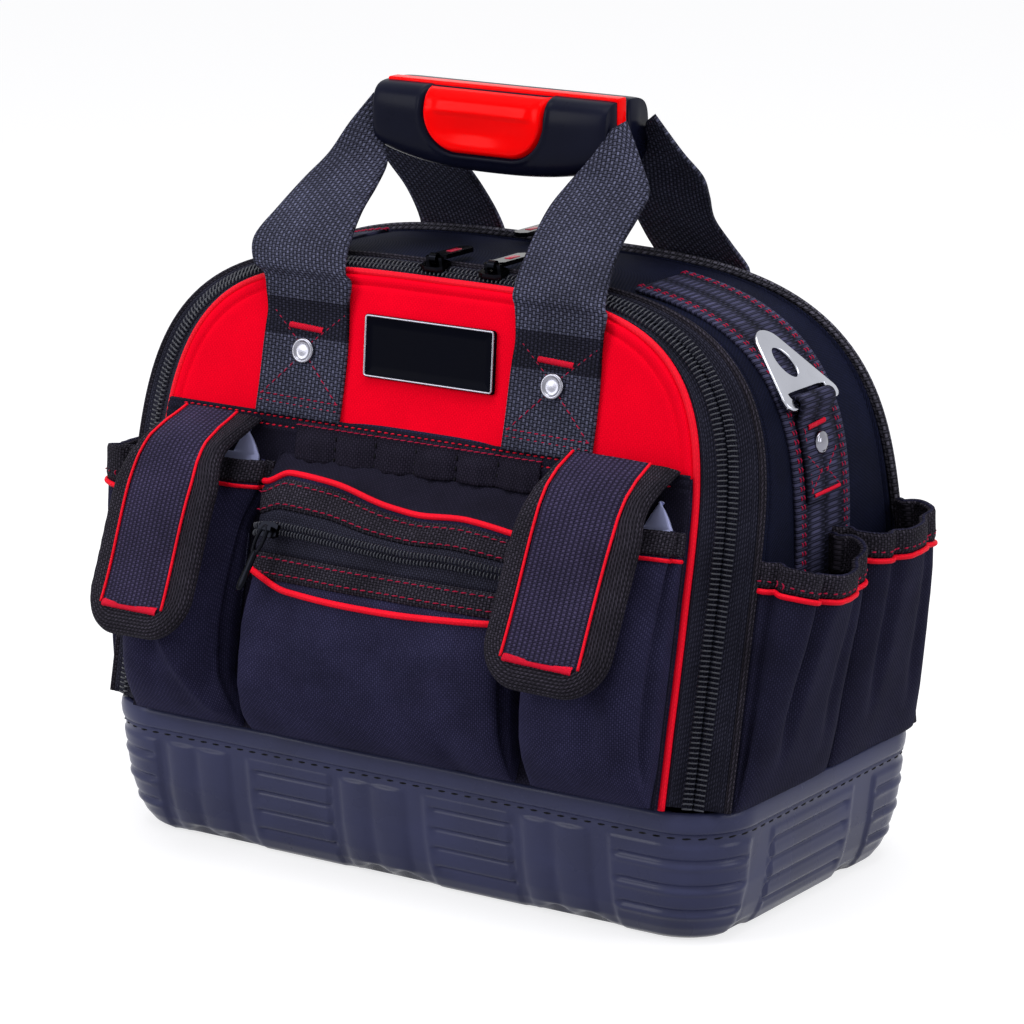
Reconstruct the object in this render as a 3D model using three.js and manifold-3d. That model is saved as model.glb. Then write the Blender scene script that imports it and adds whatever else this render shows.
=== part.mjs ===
// A soft tool bag on a moulded rubber tub. Two arched doors, one at the front and one at the rear,
// close with zips on a centre gusset and fold down about the rim of the tub.
// Lengths are in millimetres, X runs to the right, Y to the back and Z up.
// The origin is the centre of the tub's underside.

import * as THREE from 'three';
import { mergeVertices } from 'three/addons/utils/BufferGeometryUtils.js';
import Module from 'manifold-3d';

const wasm = await Module();
wasm.setup();

// Clearances between touching pieces
const gap = 0.3;
const cutMargin = 2;

// Tub
const tubHalfWidth = 185;
const tubHalfDepth = 102;
const tubCornerRadius = 34;
const tubWall = 3.5;
const tubFloor = 3.5;
const rimSeat = 57;
const rimTop = 68;
const rimRound = 1.5;
const blockProud = 2.2;
const pillarProud = 1.1;
const blockLow = 7;
const blockHigh = 51;
const blockWidth = 51;
const blockPitch = 107;
const pillarWidth = 22;
const sideBlockHalf = 39;
const patternShift = -11;
const cornerBlockFront = 135;
const cornerBlockSide = 58.5;
const grooveFirst = 7;
const grooveWidth = 2;
const groovePitch = 10.4;
const grooveCount = 4;
const grooveDepth = 1.4;
const boardThickness = 3;

// Door plane: it leans back about a hinge line just outside the rim
const lean = THREE.MathUtils.degToRad(12);
const hingeOutset = 2;
const hingeLift = 1;
const panelOutset = 4;
const panelThickness = 3;
const doorBottom = 0.5;

// Door arch, measured up the door from its hinge line
const doorSetIn = 29;
const doorHalfWidth = tubHalfWidth - doorSetIn;
const doorHeight = 231.8;
const doorShoulder = 90;
const archPower = 3.88;
const pipingRadius = 2;

// Gusset arch, on a plane behind the door's face
const gussetSetIn = 3;
const gussetHalfWidth = tubHalfWidth - gussetSetIn;
const gussetHeight = 239.2;
const gussetShoulder = 98;
const gussetPower = 3.6;
const gussetPlane = 14;
const gussetThickness = 3.5;
const zipBottom = 3;
const dividerThickness = 3;

// Zips
const tapeThickness = 1.4;
const tapeStart = 3.5;
const chainPlace = 0.48;
const toothWidth = 4.2;
const toothHeight = 2.5;

// Handle straps and their sewn tabs
const strapSpacing = 73;
const strapWidth = 50;
const strapThickness = 3;
const tabBottom = 158.5;
const strapPivotHeight = 230;
const strapRise = 60;
const strapTopWidth = 44;
const strapBelly = 3;
const strapTopShift = 4;
const strapTurn = THREE.MathUtils.degToRad(43.5);
const strapEarDrop = 7;
const strapEarWidth = 12;
const strapEarSeat = 6;
const rivetHeight = 189.5;
const rivetRadius = 5.5;
const rivetThickness = 2;
const rivetTaper = 0.7;

// Grip
const gripHalfLength = 68;
const gripBottom = 342;
const gripHeight = 41;
const gripHalfDepth = 20.5;
const gripParting = 0.3;
const insertHalfWidth = 35;
const insertHeight = 28;
const insertDepth = 5;
const insertProud = 1;
const linerThickness = 1.5;
const linerWidth = 5;

// Name plate, left bare
const plateHalfWidth = 38;
const plateBottom = 182;
const plateHeight = 29;
const plateThickness = 3;

// Lower door cloth, its pockets and flaps
const clothThickness = 1.7;
const clothTop = 157.5;
const clothSetIn = 6;
const clothHalfWidth = doorHalfWidth - clothSetIn;
const pocketWall = 2.5;
const pocketTop = 134;
const centrePocketHalf = 78.5;
const flapPocketHalf = 35;
const flapPocketSetIn = 38.5;
const flapPocketCentre = doorHalfWidth - flapPocketSetIn;
const flapHalfWidth = 33;
const flapTopHalfWidth = 26;
const flapLength = 118;
const flapThickness = 6.5;
const flapSetIn = 44;
const flapCentre = doorHalfWidth - flapSetIn;
const flapPivotHeight = 162;
const flapTilt = THREE.MathUtils.degToRad(19.5);
const flapCorner = 20;
const flapTongue = 2;
const flapShoulder = 16;
const flapLap = 4;
const padTipWidth = 24;
const padTipHeight = 15;
const padBottom = 60;
const padShoulder = 4;
const padThickness = 2;
const loopBandHalf = 72;
const loopBandBottom = 137;
const loopBandTop = 156;
const loopBandThickness = 2.5;
const pocketZipHeight = 102;
const pocketZipHalf = 66;
const pocketTapeHalf = 9;

// Sliders and pulls
const sliderLength = 13;
const sliderHeight = 2.4;
const bailHeight = 3.4;
const bailWidth = 2;
const bailBar = 1.2;
const pullLength = 30;
const pullWidth = 8;
const pullThickness = 2.2;
const pullCorner = 2.5;
const eyeInner = 1.5;
const eyeOuter = 2.4;
const eyeHalf = 1.9;
const leftSliderPlace = -9;
const rightSliderPlace = 25;
const pocketSliderPlace = -60;

// Side webbing, ring and side pockets
const webHalfWidth = 25;
const webThickness = 2;
const webBottom = 193;
const webEnd = 92;
const ringStrapHalf = 15;
const ringStrapLow = 205;
const ringRivetHeight = 231;
const ringHeight = 40;
const ringHalfWidth = 20;
const ringThickness = 3;
const ringSlotHalf = 15.3;
const ringSlotHeight = 5.5;
const ringBar = 3.5;
const ringHoleHalfWidth = 4.9;
const ringHoleHalfHeight = 8.75;
const ringHolePlace = 22.4;
const ringLoopInner = 2.6;
const ringLoopOuter = 3.8;
const ringTilt = THREE.MathUtils.degToRad(33);
const ringPlace = 251;
const sidePocketTop = 189;
const sidePocketMargin = 1.5;
const sidePocketSkew = 0.25;

// Finishes
const rubber = new THREE.MeshStandardMaterial({ color: '#33374c', roughness: 0.55, metalness: 0 });
const blackCloth = new THREE.MeshStandardMaterial({ color: '#15151f', roughness: 0.85, metalness: 0 });
const redCloth = new THREE.MeshStandardMaterial({ color: '#e8000f', roughness: 0.8, metalness: 0 });
const webbing = new THREE.MeshStandardMaterial({ color: '#1b1c26', roughness: 0.8, metalness: 0 });
const zipCoil = new THREE.MeshStandardMaterial({ color: '#1d1e24', roughness: 0.4, metalness: 0 });
const sliderMetal = new THREE.MeshStandardMaterial({ color: '#3c4046', roughness: 0.3, metalness: 0.9 });
const chrome = new THREE.MeshStandardMaterial({ color: '#c9ccd2', roughness: 0.15, metalness: 1 });
const gripBlack = new THREE.MeshStandardMaterial({ color: '#14161d', roughness: 0.45, metalness: 0 });
const gripRed = new THREE.MeshStandardMaterial({ color: '#f00010', roughness: 0.4, metalness: 0 });
const boardGrey = new THREE.MeshStandardMaterial({ color: '#2a2a2e', roughness: 0.9, metalness: 0 });
const padPale = new THREE.MeshStandardMaterial({ color: '#b9bbdd', roughness: 0.9, metalness: 0 });
const plateBlack = new THREE.MeshStandardMaterial({ color: '#0c0d12', roughness: 0.2, metalness: 0.5 });

// Closed solids from geometries, and back

function toSolid(geometry) {
  const bare = geometry.clone();
  bare.deleteAttribute('normal');
  bare.deleteAttribute('uv');
  const merged = mergeVertices(bare, 1e-4);
  return new wasm.Manifold(new wasm.Mesh({
    numProp: 3,
    vertProperties: new Float32Array(merged.attributes.position.array),
    triVerts: new Uint32Array(merged.index.array),
  }));
}

function toGeometry(solid) {
  const mesh = solid.getMesh();
  const geometry = new THREE.BufferGeometry();
  geometry.setAttribute('position', new THREE.BufferAttribute(mesh.vertProperties, 3));
  geometry.setIndex(new THREE.BufferAttribute(mesh.triVerts, 1));
  geometry.computeVertexNormals();
  return geometry;
}

function join(...geometries) {
  return toGeometry(geometries.map(toSolid).reduce((whole, piece) => whole.add(piece)));
}

function cut(geometry, ...tools) {
  return toGeometry(tools.map(toSolid).reduce((whole, tool) => whole.subtract(tool), toSolid(geometry)));
}

// Rings of points joined by bands and closed by a fan at each end
function loft(rings) {
  const count = rings[0].length;
  const points = rings.flat();
  const triangles = [];
  for (let ring = 0; ring < rings.length - 1; ring += 1) {
    for (let i = 0; i < count; i += 1) {
      const a = ring * count + i;
      const b = ring * count + ((i + 1) % count);
      triangles.push(a, b, b + count, a, b + count, a + count);
    }
  }
  const last = (rings.length - 1) * count;
  for (let i = 1; i < count - 1; i += 1) {
    triangles.push(0, i + 1, i);
    triangles.push(last, last + i, last + i + 1);
  }
  let volume = 0;
  for (let i = 0; i < triangles.length; i += 3) {
    const [a, b, c] = [points[triangles[i]], points[triangles[i + 1]], points[triangles[i + 2]]];
    volume += a.dot(new THREE.Vector3().crossVectors(b, c));
  }
  if (volume < 0) triangles.reverse();
  const geometry = new THREE.BufferGeometry().setFromPoints(points);
  geometry.setIndex(triangles);
  geometry.computeVertexNormals();
  return geometry;
}

function box(x0, x1, y0, y1, z0, z1) {
  const geometry = new THREE.BoxGeometry(x1 - x0, y1 - y0, z1 - z0);
  return geometry.translate((x0 + x1) / 2, (y0 + y1) / 2, (z0 + z1) / 2);
}

// An outline in X and Z, with its thickness from yFront to yBack
function plateXZ(outline, yFront, yBack) {
  const geometry = new THREE.ExtrudeGeometry(outline, { depth: yBack - yFront, bevelEnabled: false });
  return geometry.rotateX(Math.PI / 2).translate(0, yBack, 0);
}

// An outline in Y and Z, with its length from xLow to xHigh
function prismX(outline, xLow, xHigh) {
  const geometry = new THREE.ExtrudeGeometry(outline, { depth: xHigh - xLow, bevelEnabled: false });
  const turn = new THREE.Matrix4().makeBasis(
    new THREE.Vector3(0, 1, 0), new THREE.Vector3(0, 0, 1), new THREE.Vector3(1, 0, 0),
  );
  return geometry.applyMatrix4(turn).translate(xLow, 0, 0);
}

function shapeOf(pairs) {
  return new THREE.Shape(pairs.map(([x, y]) => new THREE.Vector2(x, y)));
}

function addPart(parent, name, geometry, material) {
  const mesh = new THREE.Mesh(geometry, material);
  mesh.name = name;
  parent.add(mesh);
  return mesh;
}

const group = new THREE.Group();

// Tub: a loft of rounded rectangles that narrows towards the floor

const cornerSteps = 5;

function roundedRectangle(halfX, halfY, radius, z) {
  const points = [];
  for (let corner = 0; corner < 4; corner += 1) {
    const sideX = corner === 0 || corner === 3 ? 1 : -1;
    const sideY = corner < 2 ? 1 : -1;
    for (let step = 0; step <= cornerSteps; step += 1) {
      const angle = ((corner + step / cornerSteps) * Math.PI) / 2;
      const x = sideX * (halfX - radius) + radius * Math.cos(angle);
      const y = sideY * (halfY - radius) + radius * Math.sin(angle);
      points.push(new THREE.Vector3(x, y, z));
    }
  }
  return points;
}

// How far the tub's side has drawn in at a share of the height of its wall
const tubProfile = [[0, 18], [0.05, 14], [0.14, 10], [0.27, 7], [0.5, 4], [0.98, 1]];

function tubRings(outset) {
  return tubProfile.map(([share, inset]) => {
    const grow = outset - inset;
    const radius = tubCornerRadius + grow / 2;
    return roundedRectangle(tubHalfWidth + grow, tubHalfDepth + grow, radius, share * rimSeat);
  });
}

// How far the hollow's side stands in from the rim's outside, at three heights
const tubHollow = [[tubFloor, 22 + tubWall], [tubFloor + 10, 13 + tubWall], [rimSeat + gap, 6 + tubWall]];

function tubShell() {
  const rim = [[rimSeat, 0], [rimTop - rimRound, 0], [rimTop, rimRound]].map(([z, inset]) => (
    roundedRectangle(tubHalfWidth - inset, tubHalfDepth - inset, tubCornerRadius - inset, z)
  ));
  const outside = loft([...tubRings(0), ...rim]);
  const insideRings = tubHollow.map(([z, inset]) => (
    roundedRectangle(tubHalfWidth - inset, tubHalfDepth - inset, tubCornerRadius - inset / 2, z)
  ));
  const seat = [rimSeat, rimTop + cutMargin].map((z) => (
    roundedRectangle(tubHalfWidth - tubWall, tubHalfDepth - tubWall, tubCornerRadius - tubWall, z)
  ));
  const proud = loft(tubRings(blockProud));
  const lowProud = loft(tubRings(pillarProud));
  const far = tubHalfWidth + 10 * cutMargin;
  const blocks = [];
  const pillars = [];
  for (const x of [patternShift - blockPitch / 2, patternShift + blockPitch / 2]) {
    blocks.push(box(x - blockWidth / 2, x + blockWidth / 2, -far, far, blockLow, blockHigh));
  }
  for (const x of [patternShift - blockPitch, patternShift, patternShift + blockPitch]) {
    pillars.push(box(x - pillarWidth / 2, x + pillarWidth / 2, -far, far, blockLow, blockHigh));
  }
  const [sideFront, sideRear] = [patternShift - sideBlockHalf, patternShift + sideBlockHalf];
  blocks.push(box(-far, far, sideFront, sideRear, blockLow, blockHigh));
  for (const sideX of [-1, 1]) {
    for (const sideY of [-1, 1]) {
      const [x0, x1] = [patternShift + sideX * cornerBlockFront, sideX * far].sort((a, b) => a - b);
      const [y0, y1] = [patternShift + sideY * cornerBlockSide, sideY * far].sort((a, b) => a - b);
      blocks.push(box(x0, x1, y0, y1, blockLow, blockHigh));
    }
  }
  let solid = toSolid(outside);
  const grooved = toSolid(loft(tubRings(blockProud - grooveDepth)));
  for (const block of blocks) {
    let piece = toSolid(proud).intersect(toSolid(block));
    for (let i = 0; i < grooveCount; i += 1) {
      const z = blockLow + grooveFirst + i * groovePitch;
      const slot = toSolid(box(-far, far, -far, far, z - grooveWidth / 2, z + grooveWidth / 2));
      piece = piece.subtract(slot.subtract(grooved));
    }
    solid = solid.add(piece);
  }
  for (const pillar of pillars) {
    solid = solid.add(toSolid(lowProud).intersect(toSolid(pillar)));
  }
  return toGeometry(solid.subtract(toSolid(loft(insideRings))).subtract(toSolid(loft(seat))));
}

addPart(group, 'base_tray', tubShell(), rubber);

const boardBottom = tubFloor + gap;
const boardTop = boardBottom + boardThickness;
const floorInset = tubHollow[0][1];
addPart(group, 'base_board', loft([boardBottom, boardTop].map((z) => (
  roundedRectangle(tubHalfWidth - floorInset, tubHalfDepth - floorInset, tubCornerRadius - floorInset / 2, z)
))), boardGrey);

// Arches of the doors and of the gusset, in the plane of a door

const archSteps = 16;
const sideSteps = 2;

function archPoints(halfWidth, height, shoulder, power, bottom, inset) {
  const half = halfWidth - inset;
  const crown = height - inset - shoulder;
  const points = [];
  for (let i = 0; i < sideSteps; i += 1) {
    points.push([-half, bottom + ((shoulder - bottom) * i) / sideSteps]);
  }
  for (let i = 0; i <= archSteps; i += 1) {
    const angle = Math.PI * (1 - i / archSteps);
    const c = Math.cos(angle);
    const s = Math.sin(angle);
    const r = (Math.abs(c) ** power + Math.abs(s) ** power) ** (-1 / power);
    points.push([half * r * c, shoulder + crown * r * s]);
  }
  for (let i = sideSteps - 1; i >= 0; i -= 1) {
    points.push([half, bottom + ((shoulder - bottom) * i) / sideSteps]);
  }
  return points;
}

function doorArch(inset, bottom) {
  return archPoints(doorHalfWidth, doorHeight, doorShoulder, archPower, bottom, inset);
}

function gussetArch(inset, bottom) {
  return archPoints(gussetHalfWidth, gussetHeight, gussetShoulder, gussetPower, bottom, inset);
}

// The ruled strip from the door's edge to the gusset's edge, which the zip lies on
const pipingPlane = pipingRadius - panelOutset;
const stripInner = doorArch(0, zipBottom).map(([x, v]) => new THREE.Vector3(x, pipingPlane, v));
const stripOuter = gussetArch(0, zipBottom).map(([x, v]) => new THREE.Vector3(x, gussetPlane, v));

function stripFrame(i) {
  const across = new THREE.Vector3().subVectors(stripOuter[i], stripInner[i]);
  const length = across.length();
  across.normalize();
  const before = stripInner[Math.max(i - 1, 0)];
  const after = stripInner[Math.min(i + 1, stripInner.length - 1)];
  const tangent = new THREE.Vector3().subVectors(after, before).normalize();
  const outward = new THREE.Vector3().crossVectors(tangent, across).normalize();
  if (outward.y > 0) outward.negate();
  const at = (along, height) => (
    stripInner[i].clone().addScaledVector(across, along).addScaledVector(outward, height)
  );
  // The distance along the strip that stays just clear of the gusset's edge, at a height off the strip
  const reach = (height) => (gussetPlane - gap - pipingPlane - outward.y * height) / across.y;
  return { across, at, reach, chain: length * chainPlace };
}

function stripSweep(profileAt) {
  return loft(stripInner.map((point, i) => {
    const frame = stripFrame(i);
    return profileAt(frame).map(([along, height]) => frame.at(along, height));
  }));
}

// Half a zip in section: a tape from its far edge to the parting line, with its row of teeth on top
function zipProfile(farTop, farBottom, parting) {
  const teeth = parting + Math.sign(farTop - parting) * toothWidth;
  return [[parting, -tapeThickness], [parting, toothHeight], [teeth, toothHeight], [teeth, 0], [farTop, 0],
    [farBottom, -tapeThickness]];
}

const doorZip = () => stripSweep(({ chain }) => zipProfile(tapeStart, tapeStart, chain - gap / 2));
const gussetZip = () => stripSweep(({ chain, reach }) => (
  zipProfile(reach(0), reach(-tapeThickness), chain + gap / 2)
));

// Frames of the two doors: the rear one is the front one turned half round

const hingeY = -(tubHalfDepth + hingeOutset);
const hingeZ = rimTop + hingeLift;
const doorFrames = {};
for (const end of ['front', 'rear']) {
  const turned = new THREE.Group();
  turned.rotation.z = end === 'front' ? 0 : Math.PI;
  const frame = new THREE.Group();
  frame.position.set(0, hingeY, hingeZ);
  frame.rotation.x = -lean;
  turned.add(frame);
  group.add(turned);
  turned.updateMatrixWorld(true);
  doorFrames[end] = frame;
}

// Centre gusset: a band along the gusset arch, as deep as the doors leave it, with a foot in the rim

const frontMatrix = doorFrames.front.matrixWorld;

function gussetRing(inset, bottom) {
  return gussetArch(inset, bottom).map(([x, v]) => (
    new THREE.Vector3(x, gussetPlane, v).applyMatrix4(frontMatrix)
  ));
}

function gussetBand() {
  const outer = gussetRing(0, zipBottom);
  const inner = gussetRing(gussetThickness, zipBottom);
  const band = loft(outer.map((point, i) => {
    const low = inner[i];
    return [
      point,
      new THREE.Vector3(point.x, -point.y, point.z),
      new THREE.Vector3(low.x, -low.y, low.z),
      low,
    ];
  }));
  const footHalf = tubHalfDepth - tubCornerRadius;
  const outside = Math.min(gussetHalfWidth, tubHalfWidth - tubWall - gap);
  const inside = gussetHalfWidth - gussetThickness;
  const footTop = outer[0].z + cutMargin;
  const feet = [-1, 1].map((side) => {
    const [x0, x1] = [side * inside, side * outside].sort((a, b) => a - b);
    return box(x0, x1, -footHalf, footHalf, rimSeat + gap, footTop);
  });
  return join(band, ...feet);
}

addPart(group, 'centre_gusset', gussetBand(), blackCloth);

const dividerFoot = tubHollow.map(([z, inset]) => [
  tubHalfWidth - inset - gap, Math.max(z, boardTop + gap),
]);
const dividerArch = gussetRing(gussetThickness + gap, zipBottom).map((point) => [point.x, point.z]);
addPart(group, 'centre_divider', plateXZ(shapeOf([
  ...dividerFoot.map(([x, z]) => [-x, z]),
  ...dividerArch,
  ...dividerFoot.reverse(),
]), -dividerThickness / 2, dividerThickness / 2), boardGrey);

for (const end of ['front', 'rear']) {
  addPart(doorFrames[end], `${end}_gusset_zip`, gussetZip(), zipCoil);
}

// Door: panel, piping, lower cloth, zip half, sewn strap tabs and rivets

const panelFront = -panelOutset;
const clothBack = panelFront - gap;
const clothFront = clothBack - clothThickness;
const panelInset = pipingRadius + gap;
const tabBack = panelFront - gap;
const tabFront = tabBack - strapThickness;
const strapStand = strapThickness / 2 + gap;
const strapPivot = new THREE.Vector3(0, tabFront - strapStand, strapPivotHeight);
const tabTop = strapPivotHeight - strapStand * Math.tan((strapTurn - lean) / 2);

function roundTube(path, radius, sides, steps) {
  const section = new THREE.Shape();
  for (let i = 0; i < sides; i += 1) {
    const angle = (2 * Math.PI * i) / sides;
    const [x, y] = [radius * Math.cos(angle), radius * Math.sin(angle)];
    if (i === 0) section.moveTo(x, y);
    else section.lineTo(x, y);
  }
  section.closePath();
  return new THREE.ExtrudeGeometry(section, { steps, bevelEnabled: false, extrudePath: path });
}

function rivet(x, z, back) {
  const head = new THREE.CylinderGeometry(rivetRadius * rivetTaper, rivetRadius, rivetThickness, 12);
  return head.rotateX(Math.PI).translate(x, back - rivetThickness / 2, z);
}

for (const end of ['front', 'rear']) {
  const frame = doorFrames[end];
  const upper = end === 'front' ? redCloth : blackCloth;
  const panel = plateXZ(shapeOf(doorArch(panelInset, doorBottom)), panelFront, panelFront + panelThickness);
  addPart(frame, `${end}_panel`, panel, upper);
  const pipingLine = doorArch(0, doorBottom).map(([x, v]) => new THREE.Vector3(x, pipingPlane, v));
  const smoothLine = new THREE.CatmullRomCurve3(pipingLine);
  addPart(frame, `${end}_piping`, roundTube(smoothLine, pipingRadius, 6, 40), redCloth);
  addPart(frame, `${end}_door_zip`, doorZip(), zipCoil);
  for (const side of [-1, 1]) {
    const name = side < 0 ? 'left' : 'right';
    const x = side * strapSpacing * (end === 'front' ? 1 : -1);
    const tab = box(x - strapWidth / 2, x + strapWidth / 2, tabFront, tabBack, tabBottom, tabTop);
    addPart(frame, `${end}_${name}_strap_tab`, tab, webbing);
    addPart(frame, `${end}_${name}_rivet`, rivet(x, rivetHeight, tabFront - gap), chrome);
  }
}

// Handles: a strap loop on each side carries half of the grip

const gripTop = gripBottom + gripHeight;

function gripSection(half) {
  const h = gripHeight;
  return shapeOf([
    [-gripParting, gripBottom], [-0.45 * half, gripBottom], [-0.8 * half, gripBottom + 0.07 * h],
    [-half, gripBottom + 0.25 * h], [-half, gripBottom + 0.8 * h],
    [-0.9 * half, gripBottom + 0.95 * h], [-0.7 * half, gripTop], [-gripParting, gripTop],
  ]);
}

function insertOutline(grow) {
  const half = insertHalfWidth + grow;
  const bottom = gripTop - insertHeight - grow;
  const shoulder = bottom + insertHeight * 0.45;
  const points = [];
  for (let i = 0; i <= 8; i += 1) {
    const angle = Math.PI * (1 + i / 8);
    points.push([half * Math.cos(angle), shoulder + (shoulder - bottom) * Math.sin(angle)]);
  }
  return shapeOf([[-half, gripTop + cutMargin], ...points, [half, gripTop + cutMargin]]);
}

function gripHalf(end) {
  const body = prismX(gripSection(gripHalfDepth), -gripHalfLength, gripHalfLength);
  if (end === 'rear') return body;
  const window = plateXZ(insertOutline(gap), -gripHalfDepth - cutMargin, -gripHalfDepth + insertDepth);
  return cut(body, window);
}

function gripInsert() {
  const boss = plateXZ(insertOutline(0), -gripHalfDepth - insertProud, -gripHalfDepth + insertDepth - gap);
  const cutTop = box(-gripHalfLength, gripHalfLength, -2 * gripHalfDepth, 0, gripTop + gap, 2 * gripTop);
  const lip = box(-insertHalfWidth, insertHalfWidth, -gripHalfDepth, -gripParting, gripTop + gap,
    gripTop + gap + linerThickness);
  const strip = box(-gripHalfLength, gripHalfLength, -linerWidth - gripParting, -gripParting,
    gripTop + gap, gripTop + gap + linerThickness);
  return join(cut(boss, cutTop), box(-insertHalfWidth, insertHalfWidth, -gripHalfDepth,
    -gripHalfDepth + insertDepth - gap, gripTop - 2, gripTop + 2 * gap), lip, strip);
}

// A strap rises from its pivot to the grip's underside, and its folded end stands beside the grip
function handleStrap(side) {
  const inner = strapSpacing - strapWidth / 2;
  const outer = strapSpacing + strapWidth / 2;
  const topInner = inner + strapTopShift;
  const topOuter = topInner + strapTopWidth;
  const outline = [[inner, 0], [outer, 0], [outer + strapBelly, strapRise / 2], [topOuter, strapRise],
    [topInner, strapRise]].map(([x, l]) => [side * x, l]);
  const slab = plateXZ(shapeOf(outline), -strapThickness / 2, strapThickness / 2);
  const roundEnd = new THREE.CylinderGeometry(strapThickness / 2, strapThickness / 2, strapWidth, 10);
  roundEnd.rotateZ(Math.PI / 2).translate(side * strapSpacing, 0, 0);
  const pivot = strapPivot.clone().applyMatrix4(frontMatrix);
  const lower = join(slab, roundEnd).rotateX(-strapTurn).translate(0, pivot.y, pivot.z);
  const topY = pivot.y + strapRise * Math.sin(strapTurn);
  const topZ = pivot.z + strapRise * Math.cos(strapTurn);
  const endInner = gripHalfLength + gap;
  const earBottom = topZ - 2 * strapThickness;
  const ear = shapeOf([[endInner, earBottom], [topOuter, earBottom],
    [endInner + strapEarWidth, gripTop - strapEarDrop],
    [endInner, gripTop - strapEarDrop]].map(([x, z]) => [side * x, z]));
  const earPlate = plateXZ(ear, topY - strapThickness / 2, strapEarSeat - gripHalfDepth);
  return join(lower, earPlate);
}

for (const end of ['front', 'rear']) {
  const turned = new THREE.Group();
  const flip = end === 'front' ? 1 : -1;
  turned.rotation.z = end === 'front' ? 0 : Math.PI;
  group.add(turned);
  addPart(turned, `${end}_grip_half`, gripHalf(end), gripBlack);
  if (end === 'front') addPart(turned, 'front_grip_insert', gripInsert(), gripRed);
  for (const side of [-1, 1]) {
    const name = side < 0 ? 'left' : 'right';
    addPart(turned, `${end}_${name}_strap`, handleStrap(side * flip), webbing);
  }
}

// Name plate

const plateBack = panelFront - gap;
const plateTop = plateBottom + plateHeight;
addPart(doorFrames.front, 'name_plate', box(
  -plateHalfWidth, plateHalfWidth, plateBack - plateThickness, plateBack, plateBottom, plateTop,
), plateBlack);

// Pockets: a rounded wall that stands off the cloth behind it, closed below and open above

const pocketSteps = 14;

function pocketRing({ z, depth, half, centre }, power, skew) {
  const points = [];
  for (let i = 0; i <= pocketSteps; i += 1) {
    const angle = (Math.PI * i) / pocketSteps;
    const c = Math.cos(angle);
    const s = Math.sin(angle);
    const r = (Math.abs(c) ** power + Math.abs(s) ** power) ** (-1 / power);
    points.push(new THREE.Vector3(centre - half * r * c + skew * depth * r * s, -depth * r * s, z));
  }
  return points;
}

function pocketShell(levels, power, skew) {
  const outer = loft(levels.map((level) => pocketRing(level, power, skew)));
  const last = levels.length - 1;
  const hollow = levels.map(({ z, depth, half, centre }, i) => {
    const inner = {
      z: z + (i === 0 ? pocketWall : 0) + (i === last ? cutMargin : 0),
      depth: Math.max(depth - pocketWall, pocketWall / 2),
      half: half - pocketWall,
      centre,
    };
    const ring = pocketRing(inner, power, skew);
    ring[0].setY(pocketWall);
    ring[pocketSteps].setY(pocketWall);
    return ring;
  });
  return cut(outer, loft(hollow));
}

// Levels of a pocket of one width, from pairs of height and depth
function straightLevels(half, pairs) {
  return pairs.map(([z, depth]) => ({ z, depth, half, centre: 0 }));
}

const pocketBottom = doorBottom + 1;
const centrePocketLevels = straightLevels(centrePocketHalf, [
  [pocketBottom, 5], [8, 14], [25, 25], [55, 30], [85, 29], [pocketZipHeight, 26], [pocketTop, 17],
]);
const flapPocketLevels = straightLevels(flapPocketHalf, [
  [pocketBottom, 5], [8, 14], [25, 26], [50, 31], [80, 27], [110, 19], [pocketTop, 10.5],
]);
const pocketBack = clothFront - gap;

function onDoor(geometry, x) {
  return geometry.translate(x, pocketBack, 0);
}

const frontFrame = doorFrames.front;
addPart(frontFrame, 'front_lower_cloth', box(
  -clothHalfWidth, clothHalfWidth, clothFront, clothBack, doorBottom, clothTop,
), blackCloth);
const centrePocket = pocketShell(centrePocketLevels, 8, 0);
addPart(frontFrame, 'centre_pocket', onDoor(centrePocket, 0), blackCloth);

// The centre pocket's zip lies on the pocket's face
const [belowZip, atZip, aboveZip] = centrePocketLevels.slice(-3);
const zipFace = pocketBack - atZip.depth;
const zipTilt = Math.atan2(belowZip.depth - aboveZip.depth, aboveZip.z - belowZip.z);
const pocketZip = new THREE.Group();
pocketZip.position.set(0, zipFace - 2 * gap - tapeThickness, pocketZipHeight);
pocketZip.rotation.x = -zipTilt;
frontFrame.add(pocketZip);
const smallTooth = toothWidth * 0.7;
addPart(pocketZip, 'pocket_zip', join(
  box(-pocketZipHalf, pocketZipHalf, 0, tapeThickness, -pocketTapeHalf, pocketTapeHalf),
  box(-pocketZipHalf, pocketZipHalf, -smallTooth / 2, tapeThickness / 2, -smallTooth, smallTooth),
), zipCoil);

// A slider plate with a bail that carries its pull, flat on XY with the bail upwards
function sliderBody(length, width) {
  const waist = width * 0.36;
  const outline = shapeOf([
    [-length / 2, -waist], [-length / 4, -width / 2], [length / 4, -width / 2], [length / 2, -waist],
    [length / 2, waist], [length / 4, width / 2], [-length / 4, width / 2], [-length / 2, waist],
  ]);
  const plate = new THREE.ExtrudeGeometry(outline, { depth: sliderHeight, bevelEnabled: false });
  const high = sliderHeight + bailHeight;
  const bail = box(-length * 0.36, length * 0.36, -bailWidth / 2, bailWidth / 2, sliderHeight / 2, high);
  const window = box(-length * 0.22, length * 0.22, -bailWidth, bailWidth, sliderHeight, high - bailBar);
  return join(plate, cut(bail, window));
}

// The bail's bar, which a pull turns about, above the slider's underside
const barHeight = sliderHeight + bailHeight - bailBar / 2;

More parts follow.
